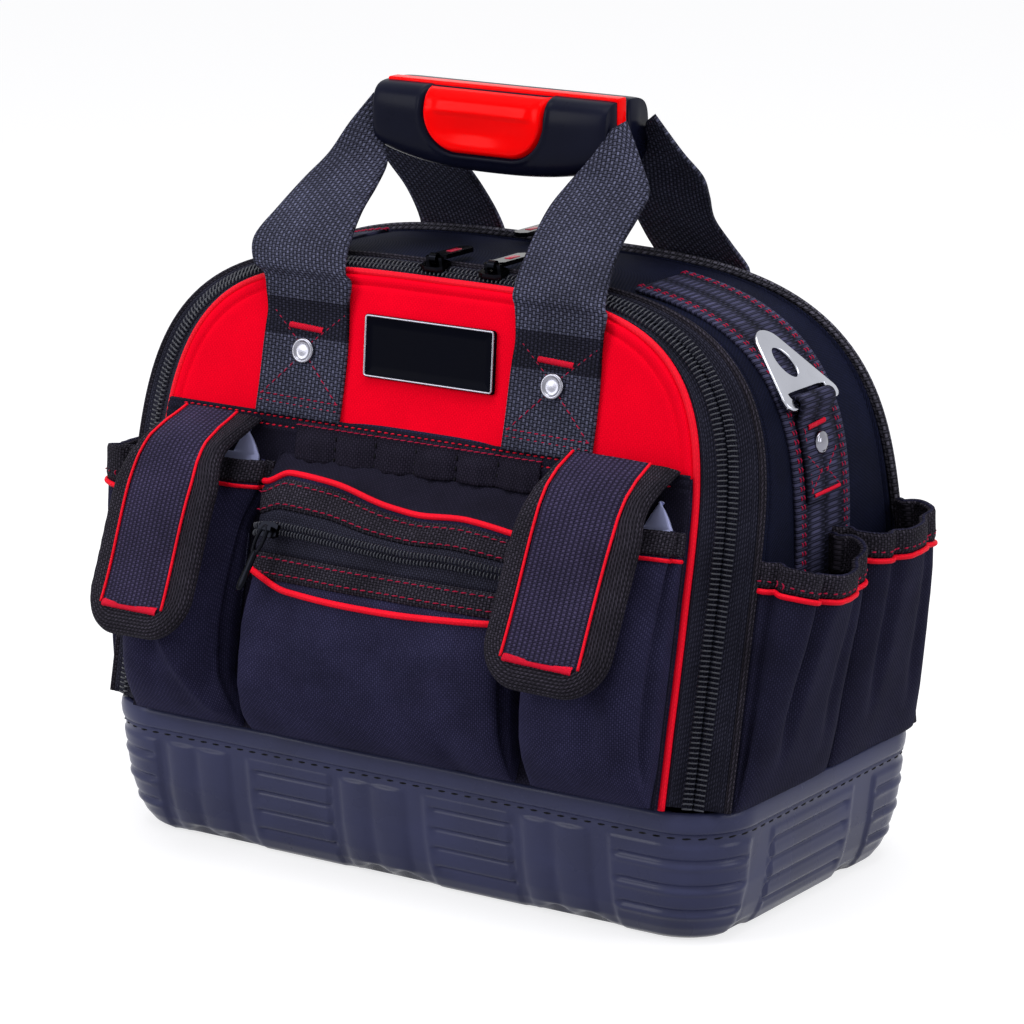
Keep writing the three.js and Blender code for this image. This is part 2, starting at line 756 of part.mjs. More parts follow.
// A pull whose eye rings the bar at its origin, lying along +Y
function pullTab(length) {
  const eye = new THREE.Shape();
  eye.absarc(0, 0, eyeOuter, 0, 2 * Math.PI);
  const bore = new THREE.Path();
  bore.absarc(0, 0, eyeInner, 0, 2 * Math.PI);
  eye.holes.push(bore);
  const round = { depth: 2 * eyeHalf, bevelEnabled: false, curveSegments: 12 };
  const ringed = new THREE.ExtrudeGeometry(eye, round);
  ringed.translate(0, 0, -eyeHalf).rotateY(Math.PI / 2);
  const half = pullWidth / 2;
  const start = (eyeInner + eyeOuter) / 2;
  const outline = shapeOf([
    [-eyeHalf, start], [eyeHalf, start], [half, start + pullCorner], [half, length - pullCorner],
    [half - pullCorner, length], [-half + pullCorner, length], [-half, length - pullCorner],
    [-half, start + pullCorner],
  ]);
  const plate = new THREE.ExtrudeGeometry(outline, { depth: pullThickness, bevelEnabled: false });
  return join(ringed, plate.translate(0, 0, -pullThickness / 2));
}

// Top sliders ride over both rows of teeth, on the level stretch of the arch

const topIndex = sideSteps + archSteps / 2;
const topFrame = stripFrame(topIndex);
const chainTop = topFrame.at(topFrame.chain, toothHeight + gap);
const topTurn = Math.atan2(topFrame.across.z, topFrame.across.y);
const sliderWidth = 2 * toothWidth + 2;

for (const end of ['front', 'rear']) {
  const flip = end === 'front' ? 1 : -1;
  for (const [name, place] of [['left', leftSliderPlace], ['right', rightSliderPlace]]) {
    const seat = new THREE.Group();
    seat.position.set(place * flip, chainTop.y, chainTop.z);
    seat.rotation.x = topTurn;
    doorFrames[end].add(seat);
    addPart(seat, `${end}_${name}_slider`, sliderBody(sliderLength, sliderWidth), sliderMetal);
    const pull = addPart(seat, `${end}_${name}_pull`, pullTab(pullLength), sliderMetal);
    pull.position.set(0, 0, barHeight);
    pull.rotation.x = -topTurn + lean;
  }
}

// The pocket slider, whose pull hangs down the pocket

const pocketSeat = new THREE.Group();
pocketSeat.position.set(pocketSliderPlace, -gap - smallTooth / 2, 0);
pocketSeat.rotation.x = Math.PI / 2;
pocketZip.add(pocketSeat);
addPart(pocketSeat, 'pocket_slider', sliderBody(sliderLength * 0.8, sliderWidth * 0.75), sliderMetal);
const pocketPull = addPart(pocketSeat, 'pocket_pull', pullTab(pullLength * 0.9), sliderMetal);
pocketPull.rotation.z = Math.PI;
pocketPull.position.set(0, 0, barHeight);

addPart(frontFrame, 'tool_loop_band', box(-loopBandHalf, loopBandHalf, pocketBack - loopBandThickness,
  pocketBack, loopBandBottom, loopBandTop), webbing);

// Flap pockets, their pale pads and the flaps over them

// A flap hangs from a thin tongue, whose upper edge is the seam that it turns about
function flapOutline() {
  const points = [[flapHalfWidth, -flapShoulder]];
  for (let i = 0; i <= 4; i += 1) {
    const angle = (-Math.PI * i) / 8;
    points.push([
      flapHalfWidth - flapCorner + flapCorner * Math.cos(angle),
      -flapLength + flapCorner + flapCorner * Math.sin(angle),
    ]);
  }
  for (let i = 0; i <= 4; i += 1) {
    const angle = -Math.PI / 2 - (Math.PI * i) / 8;
    points.push([
      -flapHalfWidth + flapCorner + flapCorner * Math.cos(angle),
      -flapLength + flapCorner + flapCorner * Math.sin(angle),
    ]);
  }
  points.push([-flapHalfWidth, -flapShoulder]);
  return shapeOf(points);
}

const flapPivotY = tabFront - 4 * gap;
for (const side of [-1, 1]) {
  const name = side < 0 ? 'left' : 'right';
  const x = side * flapPocketCentre;
  const shell = pocketShell(flapPocketLevels, 4, 0);
  addPart(frontFrame, `${name}_flap_pocket`, onDoor(shell, x), blackCloth);
  const padHalf = flapPocketHalf - pocketWall - 2;
  const padLevel = pocketTop - padShoulder;
  const pad = shapeOf([
    [x - padHalf, padBottom], [x + padHalf, padBottom], [x + padHalf, padLevel],
    [x + padHalf - padTipWidth / 2, pocketTop + padTipHeight], [x + padHalf - padTipWidth, padLevel],
    [x - padHalf, padLevel],
  ]);
  addPart(frontFrame, `${name}_pocket_pad`, plateXZ(pad, pocketBack - padThickness, pocketBack), padPale);
  const tongue = shapeOf([
    [-flapTopHalfWidth, 0], [flapTopHalfWidth, 0], [flapHalfWidth - flapLap, -flapShoulder - flapLap],
    [-flapHalfWidth + flapLap, -flapShoulder - flapLap],
  ]);
  const flap = addPart(frontFrame, `${name}_flap`, join(
    plateXZ(flapOutline(), -flapThickness, 0), plateXZ(tongue, -flapTongue / 2, flapTongue / 2),
  ), webbing);
  flap.position.set(side * flapCentre, flapPivotY, flapPivotHeight);
  flap.rotation.x = -flapTilt;
}

// Sides: webbing over the shoulder, ring strap with rivet, ring and two pockets

// Points of the gusset's outside on the right, with their outward directions
function shoulderStations(zLow, xEnd, lift) {
  const ring = archPoints(gussetHalfWidth, gussetHeight, gussetShoulder, gussetPower, zipBottom, 0)
    .map(([x, v]) => new THREE.Vector3(x, gussetPlane, v).applyMatrix4(frontMatrix))
    .map((point) => new THREE.Vector2(point.x, point.z))
    .reverse();
  const stations = [];
  for (let i = 0; i < ring.length - 1; i += 1) {
    const [a, b] = [ring[i], ring[i + 1]];
    const direction = b.clone().sub(a).normalize();
    const outward = new THREE.Vector2(direction.y, -direction.x);
    stations.push({ a, b, outward });
  }
  const points = [];
  const start = stations.find(({ a, b }) => a.y <= zLow && b.y > zLow);
  const share = (zLow - start.a.y) / (start.b.y - start.a.y);
  points.push({ point: start.a.clone().lerp(start.b, share), outward: start.outward });
  for (let i = stations.indexOf(start); i < stations.length - 1; i += 1) {
    const corner = stations[i].b;
    if (corner.x <= xEnd) {
      const t = (stations[i].a.x - xEnd) / (stations[i].a.x - corner.x);
      points.push({ point: stations[i].a.clone().lerp(corner, t), outward: stations[i].outward });
      break;
    }
    const bisector = stations[i].outward.clone().add(stations[i + 1].outward).normalize();
    const stretch = 1 / bisector.dot(stations[i].outward);
    points.push({ point: corner, outward: bisector.multiplyScalar(stretch) });
  }
  return points.map(({ point, outward }) => ({
    low: point.clone().addScaledVector(outward, lift),
    outward,
  }));
}

function shoulderBand(side, stations, halfWidth, thickness) {
  return loft(stations.map(({ low, outward }) => {
    const high = low.clone().addScaledVector(outward, thickness);
    return [
      new THREE.Vector3(side * low.x, -halfWidth, low.y),
      new THREE.Vector3(side * low.x, halfWidth, low.y),
      new THREE.Vector3(side * high.x, halfWidth, high.y),
      new THREE.Vector3(side * high.x, -halfWidth, high.y),
    ];
  }));
}

function stationsUpTo(zLow, zHigh, lift) {
  const stations = shoulderStations(zLow, 0, lift);
  const kept = stations.filter(({ low }) => low.y < zHigh - 1);
  const next = stations[kept.length];
  const last = kept[kept.length - 1];
  const share = (zHigh - last.low.y) / (next.low.y - last.low.y);
  kept.push({ low: last.low.clone().lerp(next.low, share), outward: last.outward });
  return kept;
}

function ringPlate() {
  const foot = ringBar / 2;
  const outline = shapeOf([
    [-ringHalfWidth, -foot], [ringHalfWidth, -foot], [ringHalfWidth, ringSlotHeight + foot],
    [ringHalfWidth * 0.45, ringHeight - 6], [ringHalfWidth * 0.2, ringHeight - foot],
    [-ringHalfWidth * 0.2, ringHeight - foot], [-ringHalfWidth * 0.45, ringHeight - 6],
    [-ringHalfWidth, ringSlotHeight + foot],
  ]);
  const slotTop = foot + ringSlotHeight;
  const slot = new THREE.Path([
    new THREE.Vector2(-ringSlotHalf, foot), new THREE.Vector2(ringSlotHalf, foot),
    new THREE.Vector2(ringSlotHalf, slotTop), new THREE.Vector2(-ringSlotHalf, slotTop),
  ]);
  const hole = new THREE.Path();
  for (let i = 0; i <= 12; i += 1) {
    const angle = (2 * Math.PI * i) / 12;
    const x = ringHoleHalfWidth * Math.cos(angle);
    const y = ringHolePlace + ringHoleHalfHeight * Math.sin(angle);
    if (i === 0) hole.moveTo(x, y);
    else hole.lineTo(x, y);
  }
  outline.holes.push(slot, hole);
  const plate = new THREE.ExtrudeGeometry(outline, { depth: ringThickness, bevelEnabled: false });
  const stand = new THREE.Matrix4().makeBasis(
    new THREE.Vector3(0, 1, 0), new THREE.Vector3(0, 0, 1), new THREE.Vector3(1, 0, 0),
  );
  return plate.translate(0, 0, -ringThickness / 2).applyMatrix4(stand);
}

// A side pocket reaches from the gusset's edge, which leans with the door, to the middle of the side
const sidePocketProfile = [[rimTop + gap, 5], [80, 10], [105, 18], [145, 25], [sidePocketTop, 29]];

function sidePocketLevels(toCentre) {
  return sidePocketProfile.map(([z, depth]) => {
    const edge = new THREE.Vector3(0, gussetPlane, 0).applyMatrix4(frontMatrix);
    const reach = -edge.y - (z - edge.z) * Math.tan(lean);
    const half = reach / 2 - sidePocketMargin;
    return { z, depth, half, centre: (toCentre * reach) / 2 };
  });
}

const ringStrapLift = gap + webThickness + gap;
const pivotLift = ringStrapLift + webThickness + gap + ringThickness / 2;

for (const side of [-1, 1]) {
  const name = side < 0 ? 'left' : 'right';
  const web = shoulderBand(side, shoulderStations(webBottom, webEnd, gap), webHalfWidth, webThickness);
  addPart(group, `${name}_side_web`, web, webbing);
  const ringStation = stationsUpTo(ringStrapLow, ringPlace, pivotLift).pop();
  const ringPivot = new THREE.Vector3(side * ringStation.low.x, 0, ringStation.low.y);
  const strapStations = stationsUpTo(ringStrapLow, ringPlace, ringStrapLift);
  const strap = shoulderBand(side, strapStations, ringStrapHalf, webThickness);
  const [loopOut, loopIn] = [[ringLoopOuter, ringStrapHalf], [ringLoopInner, ringStrapHalf + cutMargin]].map(
    ([radius, half]) => (
      new THREE.CylinderGeometry(radius, radius, 2 * half, 16).translate(ringPivot.x, 0, ringPivot.z)
    ),
  );
  addPart(group, `${name}_ring_strap`, cut(join(strap, loopOut), loopIn), webbing);
  const rivetLift = ringStrapLift + webThickness + 2 * gap;
  const rivetStation = stationsUpTo(ringStrapLow, ringRivetHeight, rivetLift).pop();
  const rivetTurn = Math.atan2(rivetStation.outward.y, rivetStation.outward.x);
  const head = new THREE.CylinderGeometry(rivetRadius * rivetTaper, rivetRadius, rivetThickness, 12)
    .rotateZ(-Math.PI / 2).translate(rivetThickness / 2, 0, 0).rotateY(-rivetTurn)
    .translate(rivetStation.low.x, 0, rivetStation.low.y);
  if (side < 0) head.rotateZ(Math.PI);
  addPart(group, `${name}_ring_rivet`, head, chrome);

  const ring = addPart(group, `${name}_ring`, ringPlate(), chrome);
  ring.position.copy(ringPivot);
  ring.rotation.y = -side * ringTilt;

  for (const [end, toBack] of [['front', -1], ['rear', 1]]) {
    const shell = pocketShell(sidePocketLevels(side * toBack), 4, side * sidePocketSkew);
    shell.rotateZ((side * Math.PI) / 2).translate(side * (gussetHalfWidth + gap), 0, 0);
    addPart(group, `${name}_${end}_side_pocket`, shell, blackCloth);
  }
}

export default group;
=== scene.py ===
# %% [markdown]
# # A zippered tool bag
# The bag stands on a moulded rubber tub. Two arched doors close it with zips and fold down about the
# rim, each carries half of the handle, and the outside is covered with pockets, webbing and flaps.
# The hard frame of sizes and joints is loaded first, and every piece made here is laid on it; most of
# them then move with one of its bodies.

# %% Load the frame
import math
import bpy
import bmesh
import numpy as np
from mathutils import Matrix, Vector


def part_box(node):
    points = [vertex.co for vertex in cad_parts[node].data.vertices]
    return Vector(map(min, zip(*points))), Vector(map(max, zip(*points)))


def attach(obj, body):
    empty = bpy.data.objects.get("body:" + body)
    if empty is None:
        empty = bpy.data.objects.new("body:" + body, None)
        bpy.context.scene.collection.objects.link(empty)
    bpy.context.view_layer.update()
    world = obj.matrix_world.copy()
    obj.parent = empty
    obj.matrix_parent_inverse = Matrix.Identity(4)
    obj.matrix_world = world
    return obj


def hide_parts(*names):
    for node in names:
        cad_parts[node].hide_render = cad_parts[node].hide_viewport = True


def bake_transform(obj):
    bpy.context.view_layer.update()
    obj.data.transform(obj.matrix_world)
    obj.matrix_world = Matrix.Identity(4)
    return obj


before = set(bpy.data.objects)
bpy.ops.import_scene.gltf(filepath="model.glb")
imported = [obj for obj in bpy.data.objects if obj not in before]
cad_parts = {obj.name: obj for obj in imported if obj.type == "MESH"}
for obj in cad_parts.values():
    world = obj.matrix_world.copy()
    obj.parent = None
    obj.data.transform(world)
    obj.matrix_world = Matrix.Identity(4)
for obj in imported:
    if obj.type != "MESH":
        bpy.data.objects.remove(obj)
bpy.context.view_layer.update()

scene = bpy.context.scene

# %% [markdown]
# All lengths on a bag maker's sheet are millimetres, and Blender works in metres here, so one number
# turns one into the other. Shapes are worked out as arrays of points in millimetres and are turned to
# metres only when a mesh is made.

# %% Units and objects
MM = 0.001


def new_object(name, data):
    piece = bpy.data.objects.new(name.replace(" ", "_"), data)
    scene.collection.objects.link(piece)
    return piece


def smooth(mesh):
    for polygon in mesh.polygons:
        polygon.use_smooth = True


def lay_pattern(mesh, pattern):
    """Gives every vertex its place on the flat pattern, in millimetres."""
    layer = mesh.uv_layers.new(name="UVMap")
    index = np.empty(len(mesh.loops), np.int32)
    mesh.loops.foreach_get("vertex_index", index)
    layer.data.foreach_set("uv", (np.asarray(pattern, float)[index] * MM).astype(np.float32).ravel())


def mesh_object(name, points, faces, pattern=None):
    mesh = bpy.data.meshes.new(name)
    mesh.from_pydata((np.asarray(points, float) * MM).tolist(), [], [list(map(int, f)) for f in faces])
    mesh.update()
    if pattern is not None:
        lay_pattern(mesh, pattern)
    smooth(mesh)
    return new_object(name, mesh)


def baked(piece):
    """The mesh that an object's modifiers or curves make."""
    graph = bpy.context.evaluated_depsgraph_get()
    return bpy.data.meshes.new_from_object(piece.evaluated_get(graph))


def settle(piece):
    """Makes a piece's modifiers part of its mesh."""
    mesh = baked(piece)
    piece.modifiers.clear()
    piece.data = mesh
    return piece


print("shapes are drawn in units of", MM, "m")

# %% [markdown]
# Cloth, webbing and tape are all bands or sheets, so most pieces start as a grid of points: rows run
# one way, columns the other. The grid also gets a flat pattern in millimetres measured along the
# cloth, as the cutter would lay it out, and the weave follows that pattern instead of stretching.

# %% Sheets and tubes from rows of points
def table(*columns):
    """Numbers and rows of numbers side by side, as the columns of a table of points."""
    return np.stack(np.broadcast_arrays(*columns), axis=-1).astype(float)


def unit(v):
    v = np.asarray(v, float)
    return v / np.maximum(np.linalg.norm(v, axis=-1, keepdims=True), 1e-9)


def tangents(path):
    return unit(np.gradient(np.asarray(path, float), axis=0))


def flat_pattern(grid):
    across = np.linalg.norm(np.diff(grid, axis=1), axis=2)
    along = np.linalg.norm(np.diff(grid, axis=0), axis=2)
    u = np.concatenate([np.zeros((grid.shape[0], 1)), np.cumsum(across, axis=1)], axis=1)
    v = np.concatenate([np.zeros((1, grid.shape[1])), np.cumsum(along, axis=0)], axis=0)
    return table(u - u[:, -1:] / 2, v).reshape(-1, 2)


def grid_faces(rows, columns, wrap=False):
    r, c = np.meshgrid(np.arange(rows - 1), np.arange(columns if wrap else columns - 1), indexing="ij")
    a = (r * columns + c).ravel()
    b = (r * columns + (c + 1) % columns).ravel()
    return np.stack([a, b, b + columns, a + columns], axis=1)


def sheet_piece(name, grid, facing=None, thickness=1.4):
    """A sheet whose right side looks towards `facing`; its thickness goes the other way."""
    grid = np.asarray(grid, float)
    faces = grid_faces(*grid.shape[:2])
    if facing is not None:
        i, j = grid.shape[0] // 2, grid.shape[1] // 2
        normal = np.cross(grid[i, j] - grid[i, j - 1], grid[i, j] - grid[i - 1, j])
        if normal @ np.asarray(facing, float) < 0:
            faces = faces[:, ::-1]
    piece = mesh_object(name, grid.reshape(-1, 3), faces, flat_pattern(grid))
    solid = piece.modifiers.new("cloth thickness", "SOLIDIFY")
    solid.thickness, solid.offset = thickness * MM, -1
    return piece


def outward(piece, towards=0):
    """Turns all faces out, or all of them so that the first looks `towards` +Y or -Y."""
    shape = bmesh.new()
    shape.from_mesh(piece.data)
    bmesh.ops.recalc_face_normals(shape, faces=shape.faces)
    shape.faces.ensure_lookup_table()
    if shape.faces[0].normal.y * towards < 0:
        bmesh.ops.reverse_faces(shape, faces=shape.faces)
    shape.to_mesh(piece.data)
    shape.free()
    return piece


def closed_piece(name, rings, patterned=False, ends=True):
    """A skin through closed rings of points, with its two ends shut."""
    rings = np.asarray(rings, float)
    rows, columns = rings.shape[:2]
    faces = [list(f) for f in grid_faces(rows, columns, wrap=True)]
    if ends:
        faces.append(list(range(columns))[::-1])
        faces.append([(rows - 1) * columns + i for i in range(columns)])
    pattern = flat_pattern(rings) if patterned else None
    return outward(mesh_object(name, rings.reshape(-1, 3), faces, pattern))


def tube_rings(path, radius, sides=12, up=(0, 0, 1)):
    path = np.asarray(path, float)
    t = tangents(path)
    side = unit(np.cross(t, np.broadcast_to(np.asarray(up, float), path.shape)))
    top = np.cross(side, t)
    angle = circle(sides)
    radius = np.broadcast_to(np.asarray(radius, float), (len(path),))
    return (path[:, None] + radius[:, None, None] * (np.cos(angle)[None, :, None] * side[:, None]
            + np.sin(angle)[None, :, None] * top[:, None]))


def tube_piece(name, path, radius, sides=12, up=(0, 0, 1)):
    return closed_piece(name, tube_rings(path, radius, sides, up), patterned=True)


def tube_loop(name, path, radius, sides, up, lap=0):
    """A tube round a closed path; `lap` points on each side of the join help to turn it evenly."""
    count = len(path)
    path = np.vstack([path[count - lap:], path, path[:lap]])
    rings = tube_rings(path, radius, sides, up)[lap:lap + count]
    return closed_piece(name, np.concatenate([rings, rings[:1]]), ends=False)


def circle(count):
    return np.linspace(0, 2 * np.pi, count, endpoint=False)


def rounded(wave, power):
    """A sine or cosine drawn fuller, so that a circle comes nearer to a square."""
    return np.sign(wave) * np.abs(wave) ** power


def plan(half, depth, power, angle):
    """Half of a rounded box, `half` wide to each side and `depth` deep, at the given angles."""
    c, s = np.cos(angle), np.sin(angle)
    r = (np.abs(c) ** power + np.abs(s) ** power) ** (-1 / power)
    return half * r * c, depth * r * s


def smooth_path(points, count):
    points = np.asarray(points, float)
    n = len(points)
    padded = np.vstack([2 * points[0] - points[1], points, 2 * points[-1] - points[-2]])
    s = np.linspace(0, n - 1, count)
    k = np.minimum(s.astype(int), n - 2)
    f = (s - k)[:, None]
    p0, p1, p2, p3 = (padded[k + j] for j in range(4))
    return 0.5 * (2 * p1 + (p2 - p0) * f + (2 * p0 - 5 * p1 + 4 * p2 - p3) * f ** 2
                  + (3 * p1 - p0 - 3 * p2 + p3) * f ** 3)


def even_path(path, step):
    path = np.asarray(path, float)
    length = np.concatenate([[0], np.cumsum(np.linalg.norm(np.diff(path, axis=0), axis=1))])
    count = max(int(round(length[-1] / step)) + 1, 2)
    at = np.linspace(0, length[-1], count)
    return table(*(np.interp(at, length, column) for column in path.T))


def ease(x):
    x = np.clip(x, 0, 1)
    return x * x * (3 - 2 * x)


def bump(x, centre, width):
    return np.exp(-((np.asarray(x, float) - centre) / width) ** 2)


def ripple(a, b, seed, waves=5, size=40.0):
    """Soft irregular waves with a fixed seed, for cloth that isn't quite flat: -1 to 1."""
    rng = np.random.default_rng(seed)
    total = np.zeros(np.broadcast(a, b).shape)
    for _ in range(waves):
        turn, phase = rng.uniform(0, np.pi, 1)[0], rng.uniform(0, 2 * np.pi, 1)[0]
        length = size * rng.uniform(0.6, 1.8, 1)[0]
        total = total + np.sin(2 * np.pi * (a * np.cos(turn) + b * np.sin(turn)) / length + phase)
    return total / waves


print("helpers ready")

# %% [markdown]
# Colours are picked from real goods as the screen shows them. A shader works in linear light, so each
# hex value goes through one function before it is used.

# %% Colour and nodes
def linear(code):
    channels = [int(code[i:i + 2], 16) / 255 for i in (1, 3, 5)]
    return tuple(c / 12.92 if c <= 0.04045 else ((c + 0.055) / 1.055) ** 2.4 for c in channels) + (1.0,)


def set_inputs(node, **values):
    for name, value in values.items():
        node.inputs[name.replace("_", " ")].default_value = value


def add_node(tree, kind, links=None, **settings):
    """Adds a node, sets its settings or its inputs by name, and links inputs to other sockets."""
    node = tree.nodes.new(kind)
    for name, value in settings.items():
        if hasattr(node, name):
            setattr(node, name, value)
        else:
            set_inputs(node, **{name: value})
    for name, socket in (links or {}).items():
        tree.links.new(socket, node.inputs[name])
    return node


def between(tree, value, low, high, to_low, to_high):
    """Stretches the span from low to high to another span."""
    return add_node(tree, "ShaderNodeMapRange", {"Value": value}, From_Min=low, From_Max=high,
                    To_Min=to_low, To_Max=to_high).outputs[0]


def patchy(tree, where, size, detail):
    return add_node(tree, "ShaderNodeTexNoise", {"Vector": where}, Scale=size, Detail=detail).outputs[0]


def mixed(tree, links, **settings):
    return add_node(tree, "ShaderNodeMix", links, data_type="RGBA", **settings).outputs["Result"]


def new_finish(name):
    """A new material, its node tree, its shader, and the object's own coordinates."""
    material = bpy.data.materials.new(name)
    material.use_nodes = True
    tree = material.node_tree
    where = add_node(tree, "ShaderNodeTexCoord").outputs["Object"]
    return material, tree, tree.nodes["Principled BSDF"], where


print("the screen's middle grey is", round(linear("#808080")[0], 3), "in linear light")

# %% [markdown]
# Every cloth on the bag is woven, and what the eye reads at this distance is the chequer of threads
# that go over and under. One small group draws it: the flat pattern is divided into cells of a
# thread's width, and in turn a cell shows a rounded warp thread or a rounded weft thread. Real
# polyester of this weight has about two threads to the millimetre; it is drawn a little coarser so
# that it shows in a picture of the whole bag.

# %% The weave
def weave_group():
    group = bpy.data.node_groups.new("woven threads", "ShaderNodeTree")
    for name, kind in (("Pattern", "Vector"), ("Warp", "Float"), ("Weft", "Float")):
        group.interface.new_socket(name, in_out="INPUT", socket_type="NodeSocket" + kind)
    for name in ("Height", "Fleck"):
        group.interface.new_socket(name, in_out="OUTPUT", socket_type="NodeSocketFloat")
    start = group.nodes.new("NodeGroupInput").outputs
    split = add_node(group, "ShaderNodeSeparateXYZ", {"Vector": start["Pattern"]})

    def maths(operation, a, b=None):
        node = add_node(group, "ShaderNodeMath", operation=operation)
        for k, value in enumerate((a, b)):
            if isinstance(value, (int, float)):
                node.inputs[k].default_value = value
            elif value is not None:
                group.links.new(value, node.inputs[k])
        return node.outputs[0]

    x = maths("DIVIDE", split.outputs["X"], start["Warp"])
    y = maths("DIVIDE", split.outputs["Y"], start["Weft"])
    cells = maths("ADD", maths("FLOOR", x), maths("FLOOR", y))
    odd = maths("ABSOLUTE", maths("MODULO", cells, 2.0))
    warp, weft = (maths("POWER", maths("ABSOLUTE", maths("SINE", maths("MULTIPLY", a, math.pi))), 0.6)
                  for a in (x, y))
    both = add_node(group, "ShaderNodeMix", {"Factor": odd, "A": warp, "B": maths("MULTIPLY", weft, 0.8)})
    place = add_node(group, "ShaderNodeCombineXYZ", {"X": maths("FLOOR", x), "Y": maths("FLOOR", y)})
    noise = add_node(group, "ShaderNodeTexWhiteNoise", {"Vector": place.outputs[0]}, noise_dimensions="2D")
    end = group.nodes.new("NodeGroupOutput").inputs
    group.links.new(both.outputs[0], end["Height"])
    group.links.new(noise.outputs["Value"], end["Fleck"])
    return group


WEAVE = weave_group()
# the share of the painted highlight colour that every thread gets all over
BASE_SHARE = 0.25       # how much of the light colour the threads have all over


def woven(name, shade, light, warp, weft, roughness, sheen, relief, fleck=0.5, mottle=0.25, specular=0.05):
    """Woven cloth: `shade` is painted shade between the threads and `light` a painted highlight on top of
    them, sizes in millimetres.
    """
    material, tree, shader, where = new_finish(name)
    shade, light = linear(shade), linear(light)
    pattern = add_node(tree, "ShaderNodeUVMap", uv_map="UVMap")
    weave = add_node(tree, "ShaderNodeGroup", {}, node_tree=WEAVE)
    tree.links.new(pattern.outputs["UV"], weave.inputs["Pattern"])
    set_inputs(weave, Warp=warp * MM, Weft=weft * MM)
    height = weave.outputs["Height"]
    # painted highlight: the tops of the threads get the light colour, more on some threads than on others
    varied = between(tree, weave.outputs["Fleck"], 0.0, 1.0, 1 - fleck, 1.0)
    tops = add_node(tree, "ShaderNodeMapRange", {"Value": height}, From_Min=0.62, From_Max=1.0,
                    interpolation_type="SMOOTHSTEP")
    amount = add_node(tree, "ShaderNodeMath", {0: varied, 1: tops.outputs[0]}, operation="MULTIPLY")
    base = tuple((1 - BASE_SHARE) * a + BASE_SHARE * b for a, b in zip(shade, light))
    threads = mixed(tree, {"Factor": height}, A=shade, B=base)
    lit = mixed(tree, {"Factor": amount.outputs[0], "A": threads}, B=light)
    worn = between(tree, patchy(tree, where, 38.0, 3.0), 0.3, 0.75, 1 - mottle, 1 + mottle)
    final = mixed(tree, {"A": lit, "B": worn}, blend_type="MULTIPLY", Factor=1.0)
    tree.links.new(final, shader.inputs["Base Color"])
    raised = add_node(tree, "ShaderNodeBump", {"Height": height}, Strength=relief, Distance=0.5 * MM)
    tree.links.new(raised.outputs[0], shader.inputs["Normal"])
    set_inputs(shader, Roughness=roughness, Sheen_Weight=sheen, Sheen_Roughness=0.5, Sheen_Tint=light,
               Specular_IOR_Level=specular)
    return material


print(len(WEAVE.nodes), "nodes draw the weave")

# %% [markdown]
# The finishes. The body cloth is 600 denier polyester, black with a blue cast, and the same cloth in
# red makes the upper panel. Webbing is a coarse basket weave whose round threads catch the light,
# drawn as pale painted highlights. Binding tape is grosgrain, which is nothing but fine ribs across the tape.

# %% Cloth, webbing and binding
# name, painted shade between the threads, painted highlight on top of them, warp and weft in mm, roughness,
# sheen, relief
black_cloth = woven("black polyester cloth", "#141427", "#393756", 1.1, 1.1, 0.8, 0.12, 0.35)
# the black cloth darker, as painted shade, for the lower cloth and the lid that lie under the pockets and
# loops
painted_shade_cloth = woven("black cloth in the shade", "#0b0b16", "#282536", 1.1, 1.1, 0.8, 0.08, 0.35)
# the black cloth darker for the side pockets, as painted shade on the bag's sides
shaded_pocket_cloth = woven("black side pocket cloth", "#0f0f1d", "#2c2b44", 1.1, 1.1, 0.8, 0.1, 0.35)
# the black cloth much darker for the gusset and the rear door, as painted shade on the bag's sides and top
shaded_side_cloth = woven("black side cloth in painted shade", "#04060f", "#191c36", 0.9, 0.9, 0.8, 0.06, 0.25)
red_cloth = woven("red polyester cloth", "#e6001e", "#ff0426", 1.0, 1.0, 0.8, 0.0, 0.2,
                  mottle=0.06, specular=0.02)
webbing = woven("basket weave webbing", "#05050c", "#5c5e76", 2.2, 1.6, 0.7, 0.05, 1.0)
# the strap's neck: finer ribs where the webbing is pulled thin, and darker as painted shade at the fold
neck_shade_webbing = woven("stretched webbing in painted shade", "#05050b", "#323243", 2.2, 1.2, 0.75, 0.05, 0.8)
ribbed_web = woven("crosswise ribbed webbing", "#06070f", "#464662", 16.0, 1.5, 0.72, 0.05, 1.0, fleck=0.45)
binding = woven("ribbed binding tape", "#06060b", "#413d49", 1.7, 1.3, 0.75, 0.04, 1.0, fleck=0.6)
flap_cloth = woven("ribbed flap webbing", "#13111f", "#443e5c", 2.8, 1.0, 0.75, 0.06, 0.8, fleck=0.3)
welt_tape = woven("ribbed welt tape", "#06060b", "#5c5a68", 2.6, 2.0, 0.6, 0.04, 1.2, fleck=0.6)
loop_cloth = woven("soft loop cloth", "#0a0913", "#2d2938", 1.2, 1.2, 0.8, 0.08, 0.4, fleck=0.4)
zip_tape = woven("twill zip tape", "#0a0a13", "#343444", 1.2, 1.2, 0.7, 0.05, 0.6, fleck=0.4)
piping_red = woven("red piping cloth", "#e00020", "#ff0a2c", 1.2, 1.2, 0.55, 0.0, 0.3,
                   mottle=0.1, specular=0.12)
print(len(bpy.data.materials), "materials so far")


# %% [markdown]
# Plain finishes: moulded rubber with a faint skin grain, plastics with a slight pebble, nickel plated
# steel, and sewing thread. Their grain is real too, only finer, so it comes from noise measured on the
# object itself.

